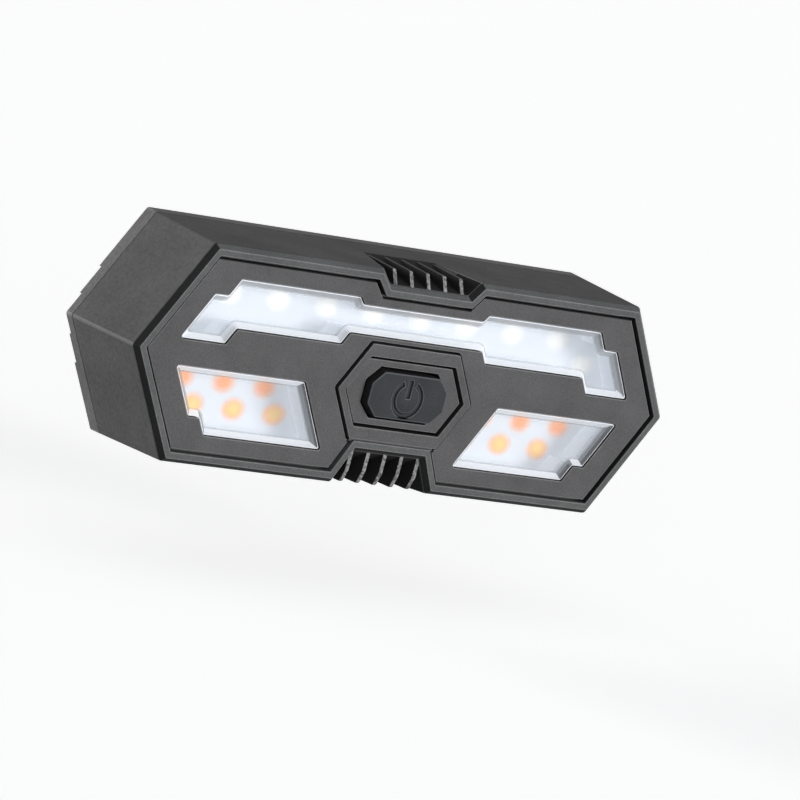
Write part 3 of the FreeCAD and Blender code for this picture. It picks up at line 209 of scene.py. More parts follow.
def casing_outline(light, top=None, bottom=None, spread=0.0):
    """The casing's edge with both notches, whose floors are (height, half width); it spreads backwards."""
    size, notch = light.casing, light.notch
    high = size.half_height + spread
    corner = size.corner_x + spread * math.tan(size.facet / 2)
    tip = size.corner_x + size.half_height / math.tan(size.facet) + spread / math.sin(size.facet)
    floor, half = top or (notch.top_floor, notch.top_half)
    low, low_half = bottom or (notch.bottom_floor, notch.bottom_half)
    return mirrored([
        (half, floor),
        (half + (high - floor) / math.tan(notch.top_slant), high),
        (corner, high),
        (tip, 0.0),
        (corner, -high),
        (low_half + (high - low) / math.tan(notch.bottom_slant), -high),
        (low_half, -low),
    ])


def upper_window(light):
    run = 1 / math.tan(light.casing.facet)
    dip = 1 / math.tan(light.notch.top_slant)
    top, step, end, under, middle = 12.15 * MM, 9.4 * MM, 1.95 * MM, 4.45 * MM, 6.35 * MM
    tip = 44.0 * MM
    dip_x, dip_z, foot, centre, width = 11.65 * MM, 11.05 * MM, 35.4 * MM, 12.95 * MM, 2.5 * MM
    return mirrored([
        (dip_x, dip_z),
        (dip_x + (top - dip_z) * dip, top),
        (tip - width - (top - end) * run, top),
        (tip - width - (step - end) * run, step),
        (tip - (step - end) * run, step),
        (tip, end),
        (foot, end),
        (foot - (under - end) * run, under),
        (centre + (middle - under) * run, under),
        (centre, middle),
    ])


def right_window(light):
    run = 1 / math.tan(light.casing.facet)
    top, step, low = -2.05 * MM, -9.7 * MM, -12.3 * MM
    outer, inner, width = 43.4 * MM, 18.9 * MM, 2.1 * MM
    return [
        (inner, top),
        (outer, top),
        (outer - (top - step) * run, step),
        (outer - width - (top - step) * run, step),
        (outer - width - (top - low) * run, low),
        (inner - (top - low) * run, low),
    ]


def left_window(light):
    return [(-x, z) for x, z in reversed(right_window(light))]


def grown(outline, by):
    """The outline with every edge moved outwards by one distance."""
    count = len(outline)
    edges = []
    for place in range(count):
        (x1, z1), (x2, z2) = outline[place], outline[(place + 1) % count]
        run = math.hypot(x2 - x1, z2 - z1)
        edges.append(Vector((z1 - z2, x2 - x1)) / run if run > 1e-9 else None)
    moved = []
    for place, (x, z) in enumerate(outline):
        before = edges[place - 1] or edges[place]
        after = edges[place] or edges[place - 1]
        shift = (before + after) * (by / (1 + before.dot(after)))
        moved.append((x + shift.x, z + shift.y))
    return moved


def rounded(corners, steps, closed=True):
    """Turn corners (a, b, radius) into a line whose corners are small arcs."""
    line = []
    count = len(corners)
    for place, (a, b, radius) in enumerate(corners):
        if not closed and place in (0, count - 1):
            line.append((a, b))
            continue
        here = Vector((a, b))
        back = Vector(corners[place - 1][:2]) - here
        forth = Vector(corners[(place + 1) % count][:2]) - here
        sharp = radius <= 0 or min(back.length, forth.length) < 1e-8
        half = 0.0 if sharp else back.angle(forth) / 2
        if sharp or half > math.radians(89.9):
            line += [(a, b)] * (steps + 1)
            continue
        reach = min(radius / math.tan(half), 0.45 * back.length, 0.45 * forth.length)
        size = reach * math.tan(half)
        centre = here + (back.normalized() + forth.normalized()).normalized() * (size / math.sin(half))
        start = here + back.normalized() * reach - centre
        end = here + forth.normalized() * reach - centre
        sweep = math.pi - 2 * half
        for step in range(steps + 1):
            share = step / steps
            spoke = start * math.sin((1 - share) * sweep) + end * math.sin(share * sweep)
            line.append(tuple(centre + spoke / math.sin(sweep)))
    return line


def row(x, level, z):
    """A place in the row frame, from one in the light's own frame."""
    return Vector((x, level - STANDOFF, z))


class Mould:
    """A mesh that grows from rings of points, the walls between them and the faces that close them."""

    def __init__(self):
        self.mesh = bmesh.new()

    def ring(self, points):
        return [self.mesh.verts.new(point) for point in points]

    def wall(self, one, two, slot=0):
        count = len(one)
        for place in range(count):
            after = (place + 1) % count
            face = self.mesh.faces.new((one[place], one[after], two[after], two[place]))
            face.material_index = slot

    def walls(self, rings, closed=False):
        for one, two in zip(rings, rings[1:] + ([rings[0]] if closed else [])):
            if one is not two:
                self.wall(one, two)

    def solid(self, rings):
        """Walls between the rings, closed at both ends."""
        self.walls(rings)
        self.close(rings[0])
        self.close(rings[-1])

    def close(self, *rings):
        """A flat face inside one ring, or between one ring and the holes in it."""
        if len(rings) == 1:
            self.mesh.faces.new(rings[0])
            return
        edges = []
        for points in rings:
            for place, point in enumerate(points):
                after = points[(place + 1) % len(points)]
                edges.append(self.mesh.edges.get((point, after)) or self.mesh.edges.new((point, after)))
        bmesh.ops.triangle_fill(self.mesh, use_beauty=True, use_dissolve=False, edges=edges)

    def sweep(self, outline, profile, radius, corner_steps=3, inner=None, slots=()):
        """Rings of one outline along a profile of (offset, level, rounding).

        The slots name a finish for each flat and each rounding of the profile in turn.
        """
        rings = [self.outline_ring(outline, offset, level, radius, corner_steps, inner)
                 for offset, level in rounded(profile, 3, closed=False)]
        for place, (one, two) in enumerate(zip(rings, rings[1:])):
            flat, step = divmod(place, 4)
            part = 2 * flat + (step > 0)
            self.wall(one, two, slots[part] if part < len(slots) else 0)
        return rings

    def outline_ring(self, outline, offset, level, radius, corner_steps=3, inner=None):
        return self.ring([row(x, level, z) for x, z in eased(outline, offset, radius, corner_steps, inner)])

    def data(self, name):
        bmesh.ops.remove_doubles(self.mesh, verts=self.mesh.verts, dist=1e-7)
        bmesh.ops.dissolve_degenerate(self.mesh, edges=self.mesh.edges, dist=1e-7)
        bmesh.ops.recalc_face_normals(self.mesh, faces=self.mesh.faces)
        mesh = bpy.data.meshes.new(name)
        self.mesh.to_mesh(mesh)
        self.mesh.free()
        return mesh


def levels(light):
    """Levels of the bezel's front, the panel's front and the panel's back."""
    front = -light.face.bevel_depth
    panel = front + light.face.recess
    return front, panel, panel + light.face.thickness


def lip(offset, front, back, soft, side):
    """The profile of a wall with a rounded front edge; the flat beside it lies inwards or outwards."""
    return [(offset + side * 2 * soft, front, 0), (offset, front, soft), (offset, back, 0)]


def eased(outline, offset, radius, steps=3, inner=None):
    """The outline grown by an offset, with even gaps round its corners.

    Inner corners stay crisp unless a radius is given for them.
    """
    moved = grown(outline, offset)
    count = len(moved)
    corners = []
    for place, (x, z) in enumerate(moved):
        (x1, z1), (x2, z2) = outline[place - 1], outline[(place + 1) % count]
        x0, z0 = outline[place]
        turn = (x0 - x1) * (z2 - z0) - (z0 - z1) * (x2 - x0)
        hollow = 0.2 * MM if inner is None else max(inner - offset, 0.1 * MM)
        corners.append((x, z, max(radius + offset, 0.2 * MM) if turn < 0 else hollow))
    return rounded(corners, steps)


def new_object(name, mesh):
    piece = bpy.data.objects.new(name, mesh)
    bpy.context.scene.collection.objects.link(piece)
    return piece


def settled(piece):
    """Turn a piece with its modifiers into a plain mesh."""
    graph = bpy.context.evaluated_depsgraph_get()
    mesh = bpy.data.meshes.new_from_object(piece.evaluated_get(graph), depsgraph=graph)
    old = piece.data
    piece.modifiers.clear()
    piece.data = mesh
    mesh.name = piece.name
    if old.users == 0:
        bpy.data.meshes.remove(old)
    return piece


def changed(piece, kind, **settings):
    """Put a piece through one modifier and keep the result."""
    modifier = piece.modifiers.new(kind.title(), kind)
    for name, value in settings.items():
        setattr(modifier, name, value)
    return settled(piece)


# Edges that turn by more than this stay sharp
SHARP_ANGLE = math.radians(38.0)

# Faces that are narrower than this count as an edge's rounding
EDGE_WIDTH = 0.11 * MM


def shaded(piece):
    """Smooth the roundings and keep the flats flat."""
    for face in piece.data.polygons:
        face.use_smooth = True
    piece.data.set_sharp_from_angle(angle=SHARP_ANGLE)
    return changed(piece, "WEIGHTED_NORMAL", keep_sharp=True, weight=80)


def dressed(name, mould, *finishes):
    """A shaded piece from a mould, with a finish for each of its slots."""
    mesh = mould.data(name)
    for finish in finishes:
        mesh.materials.append(FINISHES[finish])
    return shaded(new_object(name, mesh))


def finished(piece, finishes, choose):
    """Give each face one of several finishes, by its middle, its normal and whether it is narrow."""
    mesh = piece.data
    mesh.materials.clear()
    for finish in finishes:
        mesh.materials.append(FINISHES[finish])
    for face in mesh.polygons:
        points = [mesh.vertices[index].co for index in face.vertices]
        longest = max((one - two).length for one, two in zip(points, points[1:] + points[:1]))
        narrow = face.area < EDGE_WIDTH * max(longest, EDGE_WIDTH) and abs(face.normal.y) < 0.99
        face.material_index = finishes.index(choose(face.center, face.normal, narrow))


def refinished(piece, old, new, where):
    """Change the finish of the faces that have the old one and lie where asked."""
    old, new = (piece.data.materials.find(FINISHES[finish].name) for finish in (old, new))
    for face in piece.data.polygons:
        if face.material_index == old and where(face.center, face.normal):
            face.material_index = new


def coated(piece, material):
    """Give a whole piece one finish."""
    piece.data.materials.clear()
    piece.data.materials.append(material)
    for face in piece.data.polygons:
        face.material_index = 0
    return piece


def bevelled(piece, width, segments=2, limit=35.0):
    return changed(piece, "BEVEL", width=width, segments=segments, limit_method="ANGLE",
                   angle_limit=math.radians(limit), use_clamp_overlap=True, miter_outer="MITER_ARC")


def carved(piece, cutter):
    """Cut one mesh out of a piece."""
    tool = new_object("cutter", cutter)
    changed(piece, "BOOLEAN", operation="DIFFERENCE", solver="EXACT", object=tool)
    bpy.data.objects.remove(tool)
    bpy.data.meshes.remove(cutter)
    return piece


def block(mould, low, high):
    """A box between two corners."""
    mould.solid([mould.ring([Vector((low[0], low[1], z)), Vector((high[0], low[1], z)),
                             Vector((high[0], high[1], z)), Vector((low[0], high[1], z))])
                 for z in (low[2], high[2])])


def turned(mould, profile, centre=(0.0, 0.0, 0.0), axis="depth"):
    """A round form from (radius, place along its axis), closed at both ends."""
    sides = 32
    rings = []
    for radius, place in profile:
        points = []
        for step in range(sides):
            angle = 2 * math.pi * step / sides
            across, up = radius * math.cos(angle), radius * math.sin(angle)
            point = Vector((across, place, up)) if axis == "depth" else Vector((across, up, place))
            points.append(point + Vector(centre))
        rings.append(mould.ring(points))
    mould.solid(rings)


def softened(name, node, width, limit=35.0):
    """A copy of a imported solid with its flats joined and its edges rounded."""
    mould = bmesh.new()
    mould.from_mesh(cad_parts[node].data)
    bmesh.ops.remove_doubles(mould, verts=mould.verts, dist=2e-6)
    bmesh.ops.dissolve_limit(mould, angle_limit=math.radians(0.6), verts=mould.verts, edges=mould.edges)
    mesh = bpy.data.meshes.new(name)
    mould.to_mesh(mesh)
    mould.free()
    mesh.materials.clear()
    piece = new_object(name, mesh)
    return shaded(bevelled(piece, width, limit=limit))


def placed(piece, nodes, body):
    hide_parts(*nodes)
    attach(piece, body)
    return piece


# Node trees

def plug(socket, value):
    """Link an input to another node's socket, or set it to a value."""
    if isinstance(value, bpy.types.NodeSocket):
        socket.id_data.links.new(value, socket)
    elif socket.type == "RGBA":
        socket.default_value = (*value, 1.0)
    else:
        socket.default_value = value


def wired(tree, kind, settings=(), **inputs):
    """A new node with its settings and inputs; an input's name has low lines for its spaces."""
    node = tree.nodes.new(kind)
    for name, value in dict(settings).items():
        setattr(node, name, value)
    for name, value in inputs.items():
        plug(node.inputs[name.replace("_", " ")], value)
    return node


def sums(tree, operation, *values):
    """A sum of sockets or numbers."""
    node = wired(tree, "ShaderNodeMath", {"operation": operation})
    for socket, value in zip(node.inputs, values):
        plug(socket, value)
    return node.outputs[0]


def blended(tree, factor, one, two):
    """A shader between two, by a factor."""
    node = wired(tree, "ShaderNodeMixShader", Fac=factor)
    plug(node.inputs[1], one)
    plug(node.inputs[2], two)
    return node.outputs[0]


class Finish:
    """A material that is built node by node in object space; patterns and colours are sockets."""

    def __init__(self, name):
        self.material = bpy.data.materials.new(name)
        self.material.use_nodes = True
        self.tree = self.material.node_tree
        self.tree.nodes.clear()
        self.shader = self.node("BsdfPrincipled")
        self.output = self.node("OutputMaterial", Surface=self.shader.outputs["BSDF"])
        self.place = self.node("TexCoord").outputs["Object"]

    def node(self, kind, settings=(), **inputs):
        return wired(self.tree, "ShaderNode" + kind, settings, **inputs)

    def set(self, **inputs):
        for name, value in inputs.items():
            plug(self.shader.inputs[name.replace("_", " ")], value)

    def noise(self, scale, detail=2.0, roughness=0.5, stretch=None):
        """A cloudy pattern; scale counts its features per metre."""
        place = self.place
        if stretch:
            place = self.node("Mapping", Vector=place, Scale=stretch).outputs[0]
        return self.node("TexNoise", Vector=place, Scale=scale, Detail=detail,
                         Roughness=roughness).outputs["Fac"]

    def ranged(self, value, low, high, to_low=0.0, to_high=1.0, curve="LINEAR"):
        return self.node("MapRange", {"interpolation_type": curve}, Value=value, From_Min=low,
                         From_Max=high, To_Min=to_low, To_Max=to_high).outputs[0]

    def mixed(self, factor, one, two, blend="MIX"):
        """A colour between two, by a factor."""
        node = self.node("Mix", {"data_type": "RGBA", "blend_type": blend}, Factor=factor)
        for socket, colour in zip([item for item in node.inputs if item.type == "RGBA"], (one, two)):
            plug(socket, colour)
        return [item for item in node.outputs if item.type == "RGBA"][0]

    def relief(self, height, depth):
        self.set(Normal=self.node("Bump", Distance=depth, Strength=1.0, Height=height).outputs[0])

    def see_through(self, milk):
        """Let light straight through where the milkiness is under one."""
        clear = self.node("BsdfTransparent", Color=(0.985, 0.99, 1.0))
        plug(self.output.inputs["Surface"],
             blended(self.tree, milk, clear.outputs[0], self.shader.outputs[0]))

    def apart(self):
        """The three parts of the place on the piece."""
        return self.node("SeparateXYZ", Vector=self.place).outputs


# Finishes

def scaled(colour, by):
    return tuple(min(1.0, part * by) for part in colour)


def moulded(name, colour, roughness=0.55, grain=3600.0, depth=0.03, gloss=0.05, speckle=0.14):
    """Spark-textured moulded plastic: fine grain, faint flow marks and uneven sheen."""
    mottle = 0.12
    finish = Finish(name)
    fine = finish.noise(grain, 3.0, 0.6)
    broad = finish.noise(140.0, 3.0, 0.55)
    flow = finish.mixed(finish.ranged(broad, 0.3, 0.7), scaled(colour, 1 - mottle),
                        scaled(colour, 1 + mottle))
    grey = finish.mixed(finish.ranged(fine, 0.35, 0.65), (1 - speckle,) * 3, (1 + speckle,) * 3)
    finish.relief(fine, depth * MM)
    finish.set(Base_Color=finish.mixed(1.0, flow, grey, blend="MULTIPLY"), Specular_IOR_Level=gloss,
               Roughness=finish.ranged(fine, 0.3, 0.7, roughness - 0.08, roughness + 0.10))
    return finish.material


# Painted glow: the emission colour of the white parts behind the lenses, standing in for what they pass on
# of the light that falls between them
PAINTED_GLOW = (0.42, 0.44, 0.46)


def frosted(name, colour, facing, slanting, painted_glow_strength=0.0):
    """Frosted clear plastic: it lets most light through, and is whiter where it is seen at a slant; a glow
    strength gives it a painted glow.
    """
    finish = Finish(name)
    fine = finish.noise(2600.0)
    finish.set(Base_Color=finish.mixed(finish.noise(90.0), scaled(colour, 0.97), colour),
               Roughness=finish.ranged(fine, 0.3, 0.7, 0.30, 0.40), Specular_IOR_Level=0.4,
               Emission_Color=PAINTED_GLOW, Emission_Strength=painted_glow_strength)
    slope = finish.node("LayerWeight", Blend=0.5).outputs["Facing"]
    finish.see_through(finish.ranged(slope, 0.1, 0.9, facing, slanting))
    return finish.material


def spread(finish, white, rows):
    """White, with a painted tint round each chip, standing in for its colour as far as the frosted lens
    spreads it.

    A row is (first chip, pitch, chips on each side, height, colour, how far it is full, how far it
    reaches).
    """
    def work(operation, *values):
        return sums(finish.tree, operation, *values)

    place = finish.apart()
    across = work("ABSOLUTE", place["X"])
    shade = white
    for first, pitch, count, height, colour, full, reach in rows:
        along = work("SUBTRACT", across, first)
        turn = work("ROUND", work("DIVIDE", along, pitch))
        turn = work("MINIMUM", work("MAXIMUM", turn, 0.0), count - 1.0)
        along = work("SUBTRACT", along, work("MULTIPLY", turn, pitch))
        up = work("MULTIPLY", work("SUBTRACT", place["Z"], height), 1.25)
        away = work("SQRT", work("ADD", work("MULTIPLY", along, along), work("MULTIPLY", up, up)))
        shade = finish.mixed(finish.ranged(away, full, reach, 1.0, 0.0, "SMOOTHSTEP"), shade, colour)
    return shade


def chip_rows(light):
    """Where the chips' colours lie behind the lenses."""
    size, colour = light.chip, light.colour
    second = size.turn_x + size.turn_shift
    low = size.turn_height - size.turn_drop
    near, far = 0.6 * MM, 3.0 * MM
    amber, yellow, pale = tuple(colour.amber), tuple(colour.yellow), tuple(colour.pale)
    return [
        (size.turn_x, size.turn_pitch, 3, size.turn_height, amber, near, far),
        (second, size.turn_pitch, 3, low, amber, near, far),
        (second, size.turn_pitch, 3, low, yellow, 0.4 * MM, 2.4 * MM),
        (size.tail_pitch / 2, size.tail_pitch, 4, size.tail_height, pale, near, far),
        (size.end_x, size.tail_pitch, 1, size.end_height, pale, near, far),
    ]


def reflector(name, colour):
    """Milky white plastic that throws the chips' light forward; it carries a painted glow."""
    finish = Finish(name)
    fine = finish.noise(1800.0)
    finish.set(Base_Color=finish.mixed(finish.noise(120.0), scaled(colour, 0.96), colour),
               Roughness=finish.ranged(fine, 0.3, 0.7, 0.50, 0.62), Specular_IOR_Level=0.1,
               Emission_Color=PAINTED_GLOW, Emission_Strength=0.5)
    finish.see_through(finish.ranged(finish.noise(120.0), 0.3, 0.7, 0.47, 0.53))
    return finish.material


def board_finish(name, mask, white, rows, front):
    """Circuit board: white mask on the lamp side, green mask elsewhere, with faint tracks; the lamp side
    has painted chip tints and a painted glow.
    """
    finish = Finish(name)
    behind = finish.ranged(finish.apart()["Y"], front + 0.1 * MM, front + 0.2 * MM)
    place = finish.node("Mapping", Vector=finish.place, Rotation=(math.radians(90), 0, 0)).outputs[0]
    tracks = finish.node("TexBrick", Vector=place, Scale=300.0, Mortar_Size=0.03, Color1=mask,
                         Color2=scaled(mask, 0.8), Mortar=scaled(mask, 1.7)).outputs["Color"]
    finish.set(Base_Color=finish.mixed(behind, spread(finish, white, rows), tracks),
               Emission_Color=finish.mixed(behind, spread(finish, PAINTED_GLOW, rows), (0.0, 0.0, 0.0)),
               Roughness=0.55, Specular_IOR_Level=0.2, Emission_Strength=0.3)
    return finish.material


def chip_finish(name, white, rows):
    """Phosphor in white resin: its colour at each chip's middle fades outwards as a painted tint, with a
    painted glow.
    """
    finish = Finish(name)
    finish.set(Base_Color=spread(finish, white, rows), Emission_Color=spread(finish, PAINTED_GLOW, rows),
               Roughness=0.55, Specular_IOR_Level=0.2, Emission_Strength=0.3)
    return finish.material


def metal(name, colour, roughness, brush=(40.0, 40.0, 1200.0)):
    """Metal with fine drawn or turned marks."""
    finish = Finish(name)
    marks = finish.noise(30.0, 3.0, 0.6, stretch=brush)
    finish.relief(marks, 0.004 * MM)
    finish.set(Base_Color=finish.mixed(marks, scaled(colour, 0.75), colour), Metallic=1.0,
               Roughness=finish.ranged(marks, 0.3, 0.7, roughness - 0.08, roughness + 0.1))
    return finish.material


def rubber(name, colour, roughness=0.72):
    """Moulded rubber with a dusty bloom."""
    finish = Finish(name)
    bloom = finish.noise(220.0, 4.0, 0.6)
    finish.relief(finish.noise(5200.0), 0.02 * MM)
    finish.set(Base_Color=finish.mixed(finish.ranged(bloom, 0.35, 0.75), colour, scaled(colour, 1.6)),
               Roughness=finish.ranged(bloom, 0.3, 0.7, roughness - 0.1, roughness + 0.12),
               Specular_IOR_Level=0.3)
    return finish.material


# The finishes by name, filled in by the first step
FINISHES = {}


def coat(node, finish):
    """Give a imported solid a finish."""
    coated(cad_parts[node], FINISHES[finish])


# Rows of equal pieces

def row_tree(material):
    """Copies of a piece in rows and columns, with each row shifted sideways."""
    tree = bpy.data.node_groups.new("Rows of pieces", "GeometryNodeTree")
    for name, kind in (("Geometry", "Geometry"), ("Columns", "Int"), ("Rows", "Int"),
                       ("Column spacing", "Float"), ("Row spacing", "Float"), ("Row shift", "Float"),
                       ("First place", "Vector")):
        tree.interface.new_socket(name, in_out="INPUT", socket_type="NodeSocket" + kind)
    tree.interface.new_socket("Geometry", in_out="OUTPUT", socket_type="NodeSocketGeometry")
    start = tree.nodes.new("NodeGroupInput").outputs

    def work(operation, *values):
        return sums(tree, operation, *values)

    index = wired(tree, "GeometryNodeInputIndex").outputs[0]
    line = work("FLOOR", work("DIVIDE", index, start["Columns"]))
    across = work("ADD", work("MULTIPLY", work("MODULO", index, start["Columns"]), start["Column spacing"]),
                  work("MULTIPLY", line, start["Row shift"]))
    place = wired(tree, "ShaderNodeCombineXYZ", X=across, Z=work("MULTIPLY", line, start["Row spacing"]))
    shift = wired(tree, "ShaderNodeVectorMath", {"operation": "ADD"})
    plug(shift.inputs[0], place.outputs[0])
    plug(shift.inputs[1], start["First place"])
    points = wired(tree, "GeometryNodePoints", Count=work("MULTIPLY", start["Columns"], start["Rows"]),
                   Position=shift.outputs[0])
    copies = wired(tree, "GeometryNodeInstanceOnPoints", Points=points.outputs[0],
                   Instance=start["Geometry"])
    real = wired(tree, "GeometryNodeRealizeInstances", Geometry=copies.outputs[0])
    finish = wired(tree, "GeometryNodeSetMaterial", Geometry=real.outputs[0], Material=material)
    plug(tree.nodes.new("NodeGroupOutput").inputs[0], finish.outputs[0])
    return tree


def in_rows(piece, finish, first, columns=1, rows=1, column_spacing=0.0, row_spacing=0.0, row_shift=0.0):
    """Repeat a piece that is modelled round the origin, and keep the result as one mesh."""
    material = FINISHES[finish]
    tree = row_tree(material)
    repeat = piece.modifiers.new("Rows", "NODES")
    repeat.node_group = tree
    sockets = {item.name: item.identifier for item in tree.interface.items_tree if item.in_out == "INPUT"}
    for name, value in (("Columns", columns), ("Rows", rows), ("Column spacing", column_spacing),
                        ("Row spacing", row_spacing), ("Row shift", row_shift),
                        ("First place", tuple(first))):
        repeat[sockets[name]] = value
    return coated(settled(piece), material)


def gathered(name, pieces):
    """Join loose pieces into one."""
    mould = bmesh.new()
    material = pieces[0].data.materials[0]
    for piece in pieces:
        mould.from_mesh(piece.data)
    mesh = bpy.data.meshes.new(name)
    mould.to_mesh(mesh)
    mould.free()
    mesh.materials.append(material)
    for piece in pieces:
        bpy.data.objects.remove(piece)
    return new_object(name, mesh)


# Steps

class Step:
    """What every step shares: it builds its pieces from the scene's sizes."""

    def execute(self, context):
        self.build(context.scene.tail_light)
        return {"FINISHED"}


class TAILLIGHT_OT_finishes(Step, bpy.types.Operator):
    """Build the finishes of all pieces"""
    bl_idname = "taillight.finishes"
    bl_label = "Finishes"

    def build(self, light):
        colour = light.colour
        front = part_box("led_board")[0].y
        white = tuple(colour.reflector)
        rows = chip_rows(light)
        FINISHES.update({
            "shell": moulded("casing plastic", colour.shell, roughness=0.72, grain=1700.0, depth=0.07),
            "cover_rim": moulded("cover sides", scaled(colour.shell, 1.45), roughness=0.6, grain=1700.0),
            # Painted highlight along the end ridges
            "ridge": moulded("painted highlight on ridge", scaled(colour.shell, 1.45), roughness=0.5),
            "bezel": moulded("bezel plastic", colour.bezel, roughness=0.5, depth=0.015),
            "face": moulded("face plastic", colour.face, roughness=0.6),
            # Painted highlight on the narrow roundings of edges
            "edge": moulded("painted highlight on edges", scaled(colour.shell, 2.0), roughness=0.4, depth=0.008),
            # Painted shade on the bezel's chamfer and the wall round the panel
            "chamfer": moulded("painted shade on the bezel's chamfer", scaled(colour.bezel, 0.24), roughness=0.6, depth=0.015),
            # Painted shade on the walls of grooves, gaps and pockets
            "groove": moulded("painted shade on walls of grooves", scaled(colour.face, 0.25), roughness=0.8, depth=0.01),
            # Painted shade on the notch floors and the ribs' sides
            "recess": moulded("painted shade in notches", scaled(colour.shell, 0.22), roughness=0.75),
            # Painted shade in the parting line between shell and cover
            "seam": moulded("painted shade along the parting", scaled(colour.shell, 0.15), roughness=0.8, depth=0.01),
            # Painted light on the ribs' fronts, over a speckled grain
            "rib": moulded("painted light on the ribs' fronts", scaled(colour.shell, 2.3), grain=2600.0, depth=0.05, speckle=0.7),
            "cap": moulded("cap plastic", colour.cap, roughness=0.48, depth=0.015),
            # Painted highlight on the cap's edges and the symbol's lips
            "cap_edge_highlight": moulded("painted highlight on cap edges", scaled(colour.cap, 2.6), roughness=0.4, depth=0.008),
            "lens": frosted("frosted lens", colour.lens, 0.09, 0.28),
            # The lens rims carry a painted glow
            "lens_rim": frosted("milky lens rims", colour.lens, 0.65, 0.85, 0.35),
            # Painted shade on the lens faces that face away from the light
            "lens_end": frosted("painted shade on lens ends", scaled(colour.lens, 0.3), 0.6, 0.9),
            "lens_shade": frosted("shaded lens rim", scaled(colour.lens, 0.6), 0.6, 0.9),
            # Painted shade in the fold between a lens's floor and its rim
            "lens_fold_shade": frosted("painted fold shade on lenses", scaled(colour.lens, 0.5), 0.35, 0.7),
            "reflector": reflector("white reflector", white),
            "board": board_finish("circuit board", (0.03, 0.16, 0.07), white, rows, front),
            "amber": chip_finish("amber chips", white, rows[:3]),
            "pale": chip_finish("pale chips", white, rows[3:]),
            "bracket": moulded("bracket nylon", colour.bracket, roughness=0.55, grain=2800.0),
            "rubber": rubber("moulded rubber", colour.rubber),
            "foam": rubber("foam", (0.05, 0.05, 0.05), 0.9),
            "screw": metal("black oxide steel", colour.steel, 0.42),
            "spring": metal("spring steel", (0.62, 0.62, 0.63), 0.28, brush=(40.0, 1200.0, 40.0)),
            "port": metal("plated socket", (0.68, 0.68, 0.69), 0.25),
            "cell": metal("foil pouch", (0.66, 0.67, 0.68), 0.35, brush=(60.0, 60.0, 60.0)),
            "switch": moulded("switch body", (0.03, 0.03, 0.03), roughness=0.35, depth=0.005, gloss=0.5),
            "plunger": moulded("switch plunger", (0.45, 0.06, 0.04), roughness=0.35, depth=0.005,
                               gloss=0.5),
            "leads": rubber("silicone leads", (0.5, 0.03, 0.02), 0.5),
        })


